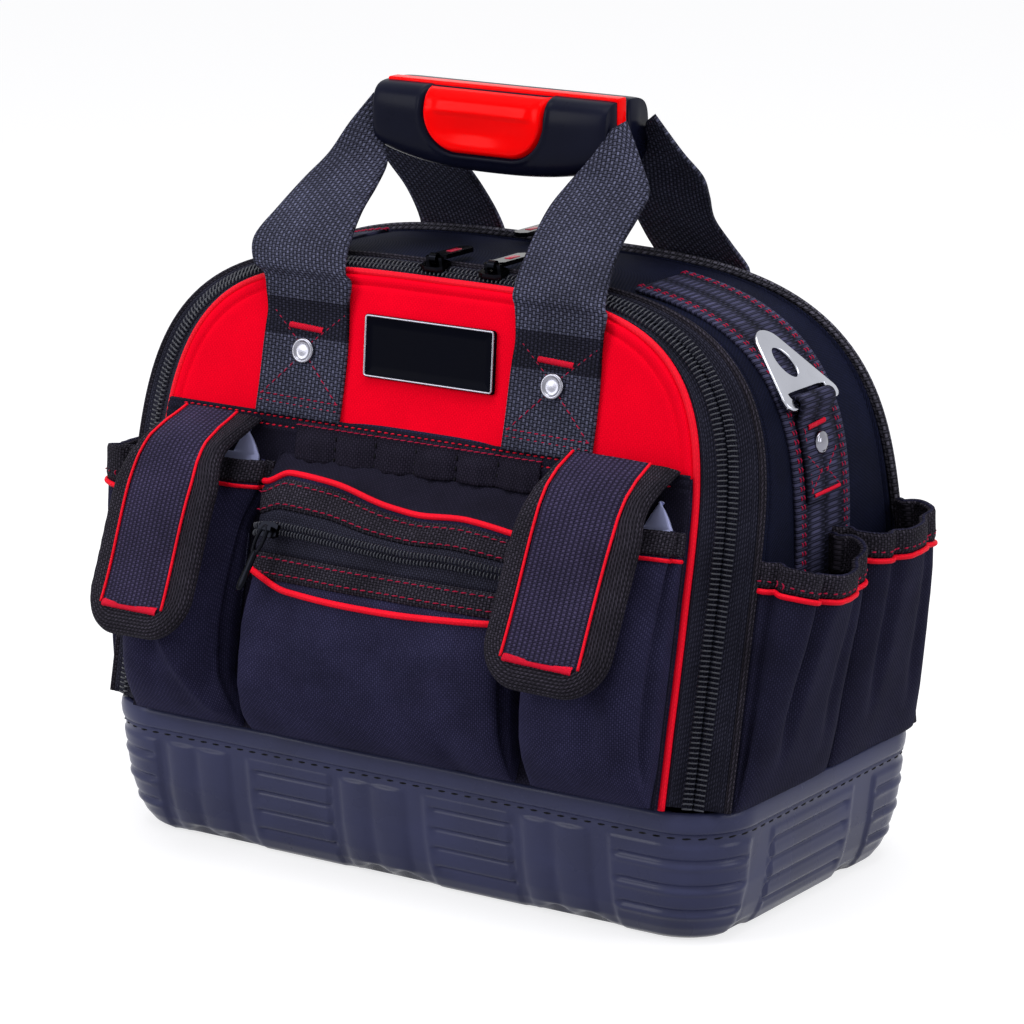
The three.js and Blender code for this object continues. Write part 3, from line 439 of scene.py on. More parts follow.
# %% Moulded and metal finishes
def moulded(name, code, roughness, grain_mm, relief, metallic=0.0, specular=0.2, wear=0.12, uneven=0.08):
    material, tree, shader, where = new_finish(name)
    grain = patchy(tree, where, 1 / (grain_mm * MM), 2.0)
    raised = add_node(tree, "ShaderNodeBump", {"Height": grain}, Strength=relief, Distance=0.3 * MM)
    tree.links.new(raised.outputs[0], shader.inputs["Normal"])
    patches = patchy(tree, where, 28.0, 4.0)
    gloss = between(tree, patches, 0.3, 0.7, roughness - uneven, roughness + uneven)
    tree.links.new(gloss, shader.inputs["Roughness"])
    tone = between(tree, patches, 0.3, 0.7, 1 - wear, 1 + wear)
    colour = mixed(tree, {"B": tone}, blend_type="MULTIPLY", Factor=1.0, A=linear(code))
    tree.links.new(colour, shader.inputs["Base Color"])
    set_inputs(shader, Metallic=metallic, Specular_IOR_Level=0.5 if metallic else specular)
    return material


# name, colour, roughness, grain in mm, relief
tub_rubber = moulded("moulded rubber", "#373a58", 0.3, 0.9, 0.10, specular=0.14)
grip_black = moulded("satin moulded plastic", "#0e1020", 0.32, 0.5, 0.06, specular=0.05)
grip_red = moulded("soft gloss red plastic", "#ff0002", 0.2, 0.5, 0.03, specular=0.04, wear=0.04)
nickel = moulded("nickel plated steel", "#8a8a94", 0.24, 0.4, 0.03, metallic=1.0)
bright_nickel = moulded("bright nickel plate", "#b6b8c2", 0.2, 0.4, 0.02, metallic=1.0)
dark_metal = moulded("dark plated zinc", "#101116", 0.25, 0.4, 0.04, metallic=1.0)
pull_red = moulded("red enamel", "#a01030", 0.3, 0.5, 0.02)
plate_gloss = moulded("gloss black enamel", "#070811", 0.3, 0.6, 0.02, specular=0.01, wear=0.05, uneven=0.04)
coil_nylon = moulded("nylon coil", "#22242f", 0.36, 0.4, 0.05, specular=0.4)
foam_pale = moulded("pale foam lining", "#b0b5e2", 0.85, 1.2, 0.3, specular=0.05, wear=0.05)
thread_red = moulded("red sewing thread", "#d01030", 0.6, 0.3, 0.2, specular=0.1)
thread_dim = moulded("dark red sewing thread", "#9c1238", 0.6, 0.3, 0.2, specular=0.1)
thread_black = moulded("black sewing thread", "#05050a", 0.6, 0.3, 0.2, specular=0.1)
board = moulded("grey stiffener board", "#2c2c31", 0.8, 0.8, 0.2, specular=0.1)


def finish(piece, material, body, slot, *nodes):
    """Gives a piece its finish and its body, and hides the nodes that it stands for. Cloth that crosses a
    joint is given two bodies and the two points between which it bends; these are not used, and its place is
    only baked into its mesh."""
    piece.data.materials.clear()
    piece.data.materials.append(material)
    if isinstance(body, tuple):
        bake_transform(piece)
    else:
        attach(piece, body)
    if nodes:
        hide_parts(*nodes)
    return piece


print(len(bpy.data.materials), "finishes")

# %% [markdown]
# The camera stands where the photographer stood: a long lens, a little to the right of the front and
# a little above. The light is a studio's, wide and soft from above, with one broad lamp from the
# left front that rakes the cloth. The floor is pale and stays white to the camera by itself, so the
# lamps needn't burn it out, and it still takes the bag's shadow.

# %% Camera, lamps and floor
CAMERA_PLACE, LOOK_AT = (1180, -1762, 704), (0, 0, 171.4)
LENS, SENSOR, SHIFT = 154.05, 36.0, (2.9 / 1024, -3.6 / 1024)
LAMPS_AIM, FLOOR_REACH = (0, 0, 180), 9000
WORLD_LIGHT, FLOOR_GREY, FLOOR_LIFT = 0.55, (0.42, 0.42, 0.44, 1), 0.72
WHITE = (1, 1, 1, 1)


def aim(name, data, place, target):
    thing = new_object(name, data)
    thing.location = Vector(place) * MM
    thing.rotation_euler = (Vector(target) * MM - thing.location).to_track_quat("-Z", "Y").to_euler()
    return thing


def lamp(name, place, width, height, watts):
    data = bpy.data.lights.new(name, "AREA")
    data.shape = "RECTANGLE"
    data.size, data.size_y, data.energy = width, height, watts
    aim(name, data, place, LAMPS_AIM)


camera = aim("camera", bpy.data.cameras.new("camera"), CAMERA_PLACE, LOOK_AT)
camera.data.sensor_width, camera.data.lens, camera.data.clip_end = SENSOR, LENS, 50
camera.data.shift_x, camera.data.shift_y = SHIFT
scene.camera = camera
scene.view_settings.view_transform = "Standard"
lamp("overhead softbox", (100, -200, 1700), 1.4, 1.0, 17)
lamp("left front softbox", (-1100, -1500, 1000), 0.9, 1.1, 15)
lamp("right side softbox", (1900, 100, 900), 0.8, 1.1, 11)


def empty_tree(owner):
    owner.use_nodes = True
    owner.node_tree.nodes.clear()
    return owner.node_tree


def seen_directly(tree):
    """1 where the camera, a mirror or a clear piece looks straight at something."""
    path = add_node(tree, "ShaderNodeLightPath").outputs
    rays = path["Is Camera Ray"]
    for other in ("Is Glossy Ray", "Is Transmission Ray"):
        rays = add_node(tree, "ShaderNodeMath", {0: rays, 1: path[other]}, operation="MAXIMUM").outputs[0]
    return rays


scene.world = bpy.data.worlds.new("studio")
sky = empty_tree(scene.world)
soft_light = add_node(sky, "ShaderNodeBackground", Color=WHITE, Strength=WORLD_LIGHT)
white_view = add_node(sky, "ShaderNodeBackground", Color=WHITE, Strength=1.0)
pick = add_node(sky, "ShaderNodeMixShader",
                {"Fac": seen_directly(sky), 1: soft_light.outputs[0], 2: white_view.outputs[0]})
add_node(sky, "ShaderNodeOutputWorld", {"Surface": pick.outputs[0]})

corners = [(sx * FLOOR_REACH, sy * FLOOR_REACH, 0) for sx, sy in ((-1, -1), (1, -1), (1, 1), (-1, 1))]
floor = mesh_object("floor", corners, [(0, 1, 2, 3)])
floor.data.materials.append(bpy.data.materials.new("pale floor"))
ground = empty_tree(floor.data.materials[0])
matt = add_node(ground, "ShaderNodeBsdfDiffuse", Color=FLOOR_GREY)
lift = add_node(ground, "ShaderNodeMath", {0: seen_directly(ground)}, operation="MULTIPLY")
lift.inputs[1].default_value = FLOOR_LIFT
glow = add_node(ground, "ShaderNodeEmission", {"Strength": lift.outputs[0]}, Color=WHITE)
both = add_node(ground, "ShaderNodeAddShader", {0: matt.outputs[0], 1: glow.outputs[0]})
add_node(ground, "ShaderNodeOutputMaterial", {"Surface": both.outputs[0]})
print("camera at", [round(c, 3) for c in camera.location])

# %% [markdown]
# The tub is one rubber moulding. Its wall leans in towards the floor, blocks with four grooves stand
# between soft double pillars, and each corner has a grooved block of its own. A moulding like this is
# a plain surface with relief on it, so it is made as a fine net of points round the tub, and each
# point is pushed out or in by the relief at its place. That keeps every edge as soft as in rubber.

# %% Tub
TUB_HALF, TUB_RADIUS = (185.0, 102.0), 34.0
RIM_SEAT, RIM_TOP, TUB_WALL = 57.0, 68.0, 3.5
TUB_PROFILE = ((0, 18), (2.8, 13.6), (8, 10), (15.4, 7), (28.5, 4), (55.9, 1), (57, 0.6))   # height, inset
UNDERSIDE = ((40.0, 0.0), (22.0, 0.0), (19.0, 0.1))     # inset, height
RIM_LIP = ((RIM_SEAT - 0.9, 0.7), (RIM_SEAT - 0.2, 1.6), (RIM_SEAT + 0.5, 1.0), (RIM_SEAT + 1.1, 0.1),
           (RIM_SEAT + 2.5, -0.3), (RIM_SEAT + 6, -0.6), (RIM_TOP - 2.5, -0.3), (RIM_TOP - 0.9, 0.2),
           (RIM_TOP - 0.25, 0.9), (RIM_TOP, 1.9), (RIM_TOP - 0.2, 2.9), (RIM_TOP - 1.2, TUB_WALL),
           (RIM_SEAT, TUB_WALL), (RIM_SEAT, 9.5), (13.5, 16.5), (3.5, 25.5))
PATTERN_SHIFT, BLOCK_PITCH, BLOCK_WIDTH, SIDE_BLOCK = -11.0, 107.0, 51.0, 39.0
CORNER_FRONT, CORNER_SIDE, CORNER_GROOVES = 135.0, 58.5, (17.5, 30.5, 43.5)
GROOVE_FIRST, GROOVE_PITCH, GROOVE_DEPTH = 14.0, 10.4, 1.7
SOFT_EDGE, FAR_AWAY = 2.2, 99


def tub_ring(inset, across, around, z):
    """One level of the tub: `across` points on each straight side and `around` on each corner."""
    radius = TUB_RADIUS - inset / 2
    hx, hy = TUB_HALF[0] - inset, TUB_HALF[1] - inset
    points, normals = [], []
    corners = ((1, -1, -90), (1, 1, 0), (-1, 1, 90), (-1, -1, 180))
    for k, (sx, sy, start) in enumerate(corners):
        centre = np.array([sx * (hx - radius), sy * (hy - radius)])
        angle = np.radians(start + np.linspace(0, 90, around))
        direction = table(np.cos(angle), np.sin(angle))
        points.append(centre + radius * direction)
        turn = np.radians(start + 90)
        ahead = np.array([-np.sin(turn), np.cos(turn)])
        count, half = (across[0], hx) if k % 2 else (across[1], hy)
        steps = np.linspace(0, 2 * (half - radius), count + 2)[1:-1]
        points.append(points[-1][-1] + steps[:, None] * ahead)
        normals += [direction, np.repeat(direction[-1:], count, axis=0)]
    points, normals = np.vstack(points), np.vstack(normals)
    return table(*points.T, z), table(*normals.T, 0)


def window(value, low, high, soft=SOFT_EDGE):
    return ease((value - low) / soft + 0.5) * ease((high - value) / soft + 0.5)


def block_grooves(along, z, fade, end, sign):
    """Four grooves that fade at one end and close in round lobes at the other."""
    lines = sum(bump(z, level, 0.95) + 0.35 * bump(z, level - 2.2, 2.2)
                for level in GROOVE_FIRST + GROOVE_PITCH * np.arange(4))
    lobe = np.abs(((z - GROOVE_FIRST) / GROOVE_PITCH) % 1 - 0.5) * 2
    bulge = end + sign * 3.2 * np.sqrt(np.clip(1 - lobe ** 2, 0, 1))
    in_height = window(z, GROOVE_FIRST - 1, GROOVE_FIRST + 3 * GROOVE_PITCH + 1, 1.0)
    return -GROOVE_DEPTH * np.minimum(lines * fade + bump(along, bulge, 1.0) * in_height, 1.15)


def tub_relief(points, z):
    x, y = points[:, 0], points[:, 1]
    near_front, near_side = np.abs(y) > TUB_HALF[1] - 24, np.abs(x) > TUB_HALF[0] - 24
    on_front, on_side = near_front & ~near_side, near_side & ~near_front
    along = np.where(on_front, x, y) - PATTERN_SHIFT
    fade_top = ease((53 - z) / 3)
    relief = np.zeros(len(points))
    for centre in (-BLOCK_PITCH / 2, BLOCK_PITCH / 2):
        start, stop = centre - BLOCK_WIDTH / 2, centre + BLOCK_WIDTH / 2
        local = (along - start) / BLOCK_WIDTH
        fade = ease((local - 0.04) / 0.09) * ease((1.0 - local) / 0.03 + 0.5)
        grooves = block_grooves(along, z, fade, stop - 3.0, 1)
        relief += window(along, start, stop) * on_front * (fade_top + grooves)
    for centre in (-BLOCK_PITCH, 0.0, BLOCK_PITCH):
        for lobe, width in ((-13.0, 13.0), (6.0, 15.0)):
            hill = np.clip(1 - ((along - centre - lobe) / (width * 0.72)) ** 2, 0, 1) ** 0.6
            relief += 1.9 * hill * fade_top * on_front
    fade = ease((along + SIDE_BLOCK - 2) / 2) * ease((SIDE_BLOCK - 3 - along) / 4)
    relief += window(along, -SIDE_BLOCK, SIDE_BLOCK) * on_side * fade_top
    relief += block_grooves(along, z, fade, 4.0 - SIDE_BLOCK, -1) * on_side
    gx, gy = np.abs(x - PATTERN_SHIFT) - CORNER_FRONT, np.abs(y - PATTERN_SHIFT) - CORNER_SIDE
    depth_in = np.minimum(np.where(near_front, gx, FAR_AWAY), np.where(near_side, gy, FAR_AWAY))
    corner = ease(depth_in / SOFT_EDGE + 0.5) * ((near_front & (gx > -3)) | (near_side & (gy > -3)))
    lines = sum(bump(z, level, 1.1) - 0.45 * bump(z, level - 3.2, 1.3) for level in CORNER_GROOVES)
    return relief + corner * (1.3 * fade_top - 1.5 * lines * ease((depth_in - 1) / 4))


def tub_foot(points):
    """How far the lower edge lifts between the blocks, in scallops."""
    x, y = points[:, 0], points[:, 1]
    on_front = (np.abs(y) > TUB_HALF[1] - 34) & (np.abs(x) < TUB_HALF[0] - 36)
    on_side = (np.abs(x) > TUB_HALF[0] - 34) & (np.abs(y) < TUB_HALF[1] - 20)
    front = sum(bump(x - PATTERN_SHIFT, centre + lobe, 7.5)
                for centre in (-BLOCK_PITCH, 0.0, BLOCK_PITCH) for lobe in (-9.0, 10.0))
    side = sum(bump(y - PATTERN_SHIFT, centre, 6.0) for centre in (-49, 49))
    return 4.6 * front * on_front + 4.0 * side * on_side


def make_tub():
    net = ((200, 96), 26)
    levels, insets = np.array(TUB_PROFILE).T
    rings = [tub_ring(inset, *net, z)[0] for inset, z in UNDERSIDE]
    heights = np.concatenate([np.arange(0.6, 52, 0.85), np.arange(52, RIM_SEAT, 0.9)])
    for z in heights[heights < RIM_SEAT - 1.2]:
        points, normals = tub_ring(float(np.interp(z, levels, insets)), *net, z)
        points = points + normals * tub_relief(points, z)[:, None]
        points[:, 2] += tub_foot(points) * ease((9 - z) / 9)
        rings.append(points)
    for z, inset in RIM_LIP:
        points = tub_ring(inset, *net, z)[0]
        if z > RIM_SEAT + 2:
            points[:, 2] += 0.35 * np.sin(points[:, 0] / 17.0) * np.sin(points[:, 1] / 23.0 + 0.6)
        rings.append(points)
    return closed_piece("tub", rings)


tub = finish(make_tub(), tub_rubber, "bag", "tub_rubber", "base_tray")
print("tub:", len(tub.data.polygons), "faces")

# %% [markdown]
# Each door is a flat frame that leans back twelve degrees from a line just outside the rim. Pieces
# sewn to a door are drawn on that plane, with x along the door, y out of its face and v up it, and
# one function lays them in the room. The rear door is the front one turned half round.

# %% The door's plane and its arch
LEAN = math.radians(12.0)
HINGE_Y, HINGE_Z = -104.0, 69.0
DOOR = (156.0, 231.8, 90.0, 3.88)       # half width, height, height of the shoulder, roundness
GUSSET = (182.0, 239.2, 98.0, 3.6)
GUSSET_PLANE, PIPING_PLANE = 14.0, -2.0
ENDS = (("front", False), ("rear", True))
SIDES = (("left", -1), ("right", 1))


def half_turn(points, wanted):
    """A copy of the points, turned half round the bag's upright axis where that is wanted."""
    points = np.array(points, float)
    if wanted:
        points[..., :2] *= -1
    return points


def on_door(points, rear=False):
    x, y, v = np.moveaxis(np.asarray(points, float), -1, 0)
    return half_turn(table(x, HINGE_Y + y * math.cos(LEAN) + v * math.sin(LEAN),
                           HINGE_Z - y * math.sin(LEAN) + v * math.cos(LEAN)), rear)


def door_out(rear=False):
    """The direction that a door's face looks in."""
    return on_door((0.0, -1.0, 0.0), rear) - on_door(np.zeros(3), rear)


def arch(size, bottom=3.0, inset=0.0, side=26, crown_steps=120):
    """The outline of a door from its left foot over the top to its right foot."""
    half_width, height, shoulder, power = size
    half, crown = half_width - inset, height - inset - shoulder
    rise = bottom + (shoulder - bottom) * np.arange(side) / side
    x, v = plan(half, crown, power, np.pi * (1 - np.arange(crown_steps + 1) / crown_steps))
    return (np.concatenate([np.full(side, -half), x, np.full(side, half)]),
            np.concatenate([rise, shoulder + v, rise[::-1]]))


def at_plane(outline, y):
    return table(outline[0], y, outline[1])


strip_inner, strip_outer = at_plane(arch(DOOR), PIPING_PLANE), at_plane(arch(GUSSET), GUSSET_PLANE)
strip_across = unit(strip_outer - strip_inner)
strip_length = np.linalg.norm(strip_outer - strip_inner, axis=1)
strip_out = unit(np.cross(tangents(strip_inner), strip_across))
strip_out *= -np.sign(strip_out[:, 1:2])
strip_chain = strip_length * 0.48


def on_strip(along, height):
    """Points of the band between the door's edge and the gusset's edge."""
    sizes = table(along, height, strip_length)
    return strip_inner + strip_across * sizes[:, 0:1] + strip_out * sizes[:, 1:2]


print("zip band:", round(strip_length.min(), 1), "to", round(strip_length.max(), 1), "mm wide")

# %% [markdown]
# The gusset is the cloth that joins the two doors round the top and sides of the bag. It is one long
# band of cloth with a stiff foam inside, so it stays smooth but crowns a little and ripples where it
# turns the shoulder. It is lofted from arch to arch and gets its thickness inwards.

# %% Gusset cloth
GUSSET_FOOT = ((57.6, 0.74), (62.0, 0.75), (66.0, 0.8))     # height, share of the full width


def make_gusset():
    edge = on_door(at_plane(arch(GUSSET), GUSSET_PLANE))
    t = tangents(edge[:, [0, 2]])
    normal = table(-t[:, 1], 0, t[:, 0])
    share = np.linspace(-1, 1, 121)
    run = np.cumsum(np.concatenate([[0], np.linalg.norm(np.diff(edge, axis=0), axis=1)]))
    seam = -1.8 * bump(np.abs(share), 0.885, 0.014) + 0.9 * bump(np.abs(share), 0.92, 0.03)
    rows = []
    for i, point in enumerate(edge):
        y = share * abs(point[1])
        crown = 1.6 * (1 - share ** 4) + 0.9 * ripple(run[i], y, 4, size=70) * (1 - share ** 6)
        low = ease((point[2] - 70) / 25)
        rows.append(table(point[0], y, point[2]) + normal[i] * ((crown + seam) * low - 0.6)[:, None])
    left, right = ([table(side * 180.9, share * 89.0 * width, z) for z, width in GUSSET_FOOT]
                   for side in (-1, 1))
    return sheet_piece("gusset cloth", np.array(left + rows + right[::-1]), (0, 0, 1), 2.6)


gusset = finish(make_gusset(), shaded_side_cloth, "bag", "black_cloth", "centre_gusset")
print("gusset cloth:", len(gusset.data.polygons), "faces")

# %% [markdown]
# Zips. The tape of each half is a woven band; one edge is sewn under the door's piping or under the
# gusset's welt, and the other carries a spiral of nylon. The spiral's loops are all alike and follow
# the arch, so a small node tree lays one loop again and again along a path, turned with it, and the
# result is kept as a plain mesh. The same tree later lays every row of stitches.

# %% A node tree that lays one piece along a path
def follow_tree():
    tree = bpy.data.node_groups.new("lay a piece along a path", "GeometryNodeTree")
    for name, kind in (("Path", "Geometry"), ("Piece", "Object"), ("Spacing", "Float"), ("Start", "Float"),
                       ("Finish", "Material")):
        tree.interface.new_socket(name, in_out="INPUT", socket_type="NodeSocket" + kind)
    tree.interface.new_socket("Result", in_out="OUTPUT", socket_type="NodeSocketGeometry")
    given = tree.nodes.new("NodeGroupInput").outputs
    curve = add_node(tree, "GeometryNodeMeshToCurve", {"Mesh": given["Path"]})
    cut = add_node(tree, "GeometryNodeTrimCurve", {"Curve": curve.outputs[0]}, mode="LENGTH")
    start, stop = ([s for s in cut.inputs if s.name == name and s.enabled][-1] for name in ("Start", "End"))
    tree.links.new(given["Start"], start)
    stop.default_value = 100.0
    even = add_node(tree, "GeometryNodeResampleCurve", {"Curve": cut.outputs[0], "Length": given["Spacing"]},
                    mode="LENGTH")
    out = add_node(tree, "GeometryNodeInputNamedAttribute", data_type="FLOAT_VECTOR", Name="out")
    ahead = add_node(tree, "GeometryNodeInputTangent")
    turn = add_node(tree, "FunctionNodeAxesToRotation", {"Primary Axis": out.outputs["Attribute"],
                    "Secondary Axis": ahead.outputs[0]}, primary_axis="Z", secondary_axis="X")
    piece = add_node(tree, "GeometryNodeObjectInfo", {"Object": given["Piece"]})
    laid = add_node(tree, "GeometryNodeInstanceOnPoints", {"Points": even.outputs[0],
                    "Instance": piece.outputs["Geometry"], "Rotation": turn.outputs[0]})
    real = add_node(tree, "GeometryNodeRealizeInstances", {"Geometry": laid.outputs[0]})
    painted = add_node(tree, "GeometryNodeSetMaterial", {"Geometry": real.outputs[0],
                       "Material": given["Finish"]})
    tree.links.new(painted.outputs[0], tree.nodes.new("NodeGroupOutput").inputs["Result"])
    return tree


FOLLOW = follow_tree()
SOCKET = {item.name: item.identifier for item in FOLLOW.interface.items_tree if item.in_out == "INPUT"}


def lay_along(name, path, out, piece, spacing, material, start=0.0):
    """`piece` again and again along `path`, its Z towards `out` and its X along the path."""
    path, out = np.asarray(path, float), np.broadcast_to(np.asarray(out, float), np.shape(path))
    mesh = bpy.data.meshes.new(name + " path")
    mesh.from_pydata((path * MM).tolist(), [(i, i + 1) for i in range(len(path) - 1)], [])
    facing = mesh.attributes.new("out", "FLOAT_VECTOR", "POINT")
    facing.data.foreach_set("vector", out.astype(np.float32).ravel())
    carrier = new_object(name + " path", mesh)
    modifier = carrier.modifiers.new("lay along", "NODES")
    modifier.node_group = FOLLOW
    modifier[SOCKET["Piece"]] = piece
    modifier[SOCKET["Spacing"]] = spacing * MM
    modifier[SOCKET["Start"]] = start * MM
    modifier[SOCKET["Finish"]] = material
    laid = baked(carrier)
    bpy.data.objects.remove(carrier)
    return new_object(name, laid)


def merge(name, pieces):
    """Several meshes of one finish become one piece."""
    shape = bmesh.new()
    for piece in pieces:
        shape.from_mesh(piece.data)
    mesh = bpy.data.meshes.new(name)
    shape.to_mesh(mesh)
    shape.free()
    for piece in pieces:
        bpy.data.objects.remove(piece)
    return new_object(name, mesh)


print(len(FOLLOW.nodes), "nodes lay a piece along a path")

# %% [markdown]
# What is laid along a path is made once, as a mould that is put away at the end. A zip's spiral is
# wound so that its head is thick and locks with the other side, and sewing thread swells between the
# two holes that it dips into, so both are closed skins through a few rings.

# %% One loop of the zip's spiral, and one stitch
LOOP_STATIONS = ((-0.5, 0.0, 0.36, 0.30), (-0.4, 0.9, 0.50, 0.6), (-0.1, 1.45, 0.48, 0.7),
                 (0.25, 1.45, 0.48, 0.7), (0.45, 1.15, 0.58, 0.75), (0.54, 0.5, 0.45, 0.5))


def zip_tooth(width, pitch):
    """A loop of the spiral: it lies across the tape, thick at its head and bent down at its root."""
    a = circle(6)
    return closed_piece("zip tooth", [table(pitch * half * np.cos(a) + 0.25 * pitch * across, across * width,
                                            height + thick * np.sin(a))
                                      for across, height, half, thick in LOOP_STATIONS])


def stitch_mould(length, radius):
    x = np.linspace(-0.5, 0.5, 5)
    swell = np.array([0.35, 0.85, 1.0, 0.85, 0.35])
    path = table(x * length, 0.12 * length * x, -radius * 2.2 * (2 * x) ** 2)
    return closed_piece("stitch", tube_rings(path, radius * swell, 6))


TOOTH_PITCH, SMALL_PITCH = 2.4, 1.9
TOOTH_SIZES = ((5.2, 1.0), (-5.2, 1.0), (3.0, 0.8), (-3.0, 0.8))
tooth, tooth_back, small_tooth, small_tooth_back = (zip_tooth(*size) for size in TOOTH_SIZES)
stitch, thin_stitch, long_stitch = (stitch_mould(n, r) for n, r in ((3.1, 0.42), (3.7, 0.32), (6.2, 0.55)))
moulds = [tooth, tooth_back, small_tooth, small_tooth_back, stitch, thin_stitch, long_stitch]
print("one loop of the zip:", len(tooth.data.polygons), "faces")

# %% [markdown]
# The tapes, with the fold of cloth that covers their sewn edge, and the coils. The door's half rides
# on the door and the gusset's half on the bag, so the zip parts when a door folds down.

# %% Zip tapes and coils
def strip_sheet(name, section, rear):
    grid = np.stack([on_strip(along, height) for along, height in section], axis=1)
    return sheet_piece(name, on_door(grid, rear), (0, 1 if rear else -1, 1), 0.7)


def strip_facing(rear):
    return on_door(strip_inner + strip_out, rear) - on_door(strip_inner, rear)


for end, rear in ENDS:
    c, full = strip_chain, strip_length
    puckers = 0.18 * np.sin(np.arange(len(c)) * 1.9)
    door_tape = [(1.2, -0.6), (2.6, 0.6), (3.8, 0.8 + puckers), (4.6, 0.0), (c - 2.7, -0.1), (c - 0.3, 0.1)]
    gusset_tape = [(c + 0.3, 0.1), (c + 2.7, -0.1), (full - 4.6, 0.0),
                   (full - 3.9, (0.5 if rear else 0.9) + puckers),
                   (full - 2.2, 0.5 if rear else 1.3), (full - 0.3, 0.5), (full + 0.2, -0.8)]
    out = strip_facing(rear)
    for part, body, section in (("door", f"{end}_door", door_tape), ("gusset", "bag", gusset_tape)):
        sheet = strip_sheet(f"{end} {part} zip tape", section, rear)
        finish(sheet, zip_tape, body, "zip_coil", f"{end}_{part}_zip")
    for part, body, side, mould, shift in (("door", f"{end}_door", -1, tooth_back, 0.0),
                                           ("gusset", "bag", 1, tooth, TOOTH_PITCH / 2)):
        row = on_door(on_strip(c + side * 2.5, 1.5 if rear else 0.3), rear)
        coil = lay_along(f"{end} {part} zip coil", row, out, mould, TOOTH_PITCH, coil_nylon, shift)
        finish(coil, coil_nylon, body, "zip_coil")
    print(end, "zip:", len(coil.data.polygons), "faces a row")
    along = tangents(strip_outer)
    stand = 1.9 * ease((strip_outer[:, 2:3] - 4) / 30)
    proud = strip_outer + table(-along[:, 2], 0, along[:, 0]) * stand + np.array([0, 0.8, 0])
    welt = on_door(proud if rear else on_strip(full + 0.4, 0.9), rear)
    cord = tube_piece(f"{end} gusset welt", welt, 2.5 if rear else 1.7, 12, out)
    finish(cord, welt_tape if rear else binding, "bag", "black_cloth")

# %% [markdown]
# The doors. The front one is red above and black below, the rear one black all over. The face is a
# sheet with foam behind it, so it swells a little inside the welt that runs round it. The red piping
# is a cord wrapped in cloth, sewn in between the face and the zip.

# %% Door faces and piping
FACE_INSETS = (0.8, 2.2, 3.0, 4.2, 5.4, 6.2, 6.9, 8, 10, 13, 17, 22, 28, 35, 43, 52, 62, 73, 85, 98, 112, 126)
RED_FROM = 0.2205       # metres above the floor
TUCKED_BELOW = 16       # the front's left end of piping goes under the pocket here


def make_door_face(name, rear):
    rings = []
    for inset in FACE_INSETS:
        x, v = arch(DOOR, bottom=0.5, inset=inset)
        swell = 0.7 * ease((inset - 7) / 25) - 0.9 * bump(inset, 6.2, 0.7) - 1.9 * ease((2.6 - inset) / 2.2)
        free = ease((np.abs(np.abs(x) - 73) - 26) / 8) * ease((inset - 6) / 10)
        rings.append(table(x, -4.2 - swell - 0.55 * ripple(x, v, 11 + int(rear), size=55) * free, v))
    grid = np.swapaxes(np.array(rings), 0, 1)
    rows, columns = grid.shape[:2]
    faces = [list(f) for f in grid_faces(rows, columns)]
    faces.append([i * columns + columns - 1 for i in range(rows)])
    piece = mesh_object(name, on_door(grid, rear).reshape(-1, 3), faces, grid[..., [0, 2]].reshape(-1, 2))
    outward(piece, 1 if rear else -1)
    solid = piece.modifiers.new("foam and lining", "SOLIDIFY")
    solid.thickness, solid.offset, solid.material_offset = 2.4 * MM, -1, 1
    return piece


for end, rear in ENDS:
    face = make_door_face(f"{end} door face", rear)
    cloth, slot = (shaded_side_cloth, "black_cloth") if rear else (red_cloth, "red_cloth")
    finish(face, cloth, f"{end}_door", slot, f"{end}_panel")
    face.data.materials.append(black_cloth)
    for polygon in face.data.polygons:
        if polygon.center.z < RED_FROM and not rear:
            polygon.material_index = 1
    line, out = at_plane(arch(DOOR, bottom=0.6), PIPING_PLANE), strip_facing(rear)
    line[:, 1] += 0.25 * ripple(line[:, 0], line[:, 2], 5, size=45)
    seen = (line[:, 0] >= 0) | (line[:, 2] >= TUCKED_BELOW) | rear
    cord = tube_piece(f"{end} door piping", on_door(line[seen], rear), 1.75, 12, out[seen])
    finish(cord, piping_red, f"{end}_door", "red_cloth", f"{end}_piping")
    print(end, "door face:", len(face.data.polygons), "faces")

# %% [markdown]
# Small things that come again and again: a turned cap such as a rivet's head, a row of thread
# stitches, and a bar-tack, which is a close band of thread worked over one line.

# %% Rivets, stitches and bar-tacks
# radius and height up the cap's outline
RIVET_CAP = ((6.4, -1.2), (6.4, 0.4), (6.3, 1.1), (6.0, 1.6), (5.5, 1.85), (5.0, 1.8), (4.6, 1.5), (4.3, 1.2),
             (3.4, 1.05), (2.4, 1.1), (1.2, 1.2), (0.2, 1.25))
RIVET_DOME = ((6.4, -1.2), (6.4, 0.2), (6.25, 0.8), (5.9, 1.2), (5.4, 1.45), (5.0, 1.55), (4.6, 1.75),
              (4.0, 2.1), (3.0, 2.35), (1.6, 2.5), (0.2, 2.55))


def turned_cap(name, profile, place, out):
    out = unit(out)
    side = unit(np.cross(out, (0.31, 0.2, 0.93)))
    top = np.cross(out, side)
    angle = circle(28)[:, None]
    spoke = np.cos(angle) * side + np.sin(angle) * top
    return closed_piece(name, [np.asarray(place, float) + r * spoke + h * out for r, h in profile])


def stitch_row(name, path, out, material=thread_dim, mould=thin_stitch, spacing=3.9):
    even = even_path(path, 1.5)
    return lay_along(name, even if len(even) > 2 else even_path(path, 0.7), out, mould, spacing, material)


def stitch_rows(name, paths, out, body, material=thread_dim, mould=thin_stitch, slot="red_cloth", **settings):
    """Several rows of one thread as one piece."""
    rows = [stitch_row("row", np.array(path), out, material, mould, **settings) for path in paths]
    finish(merge(name, rows), material, body, slot)


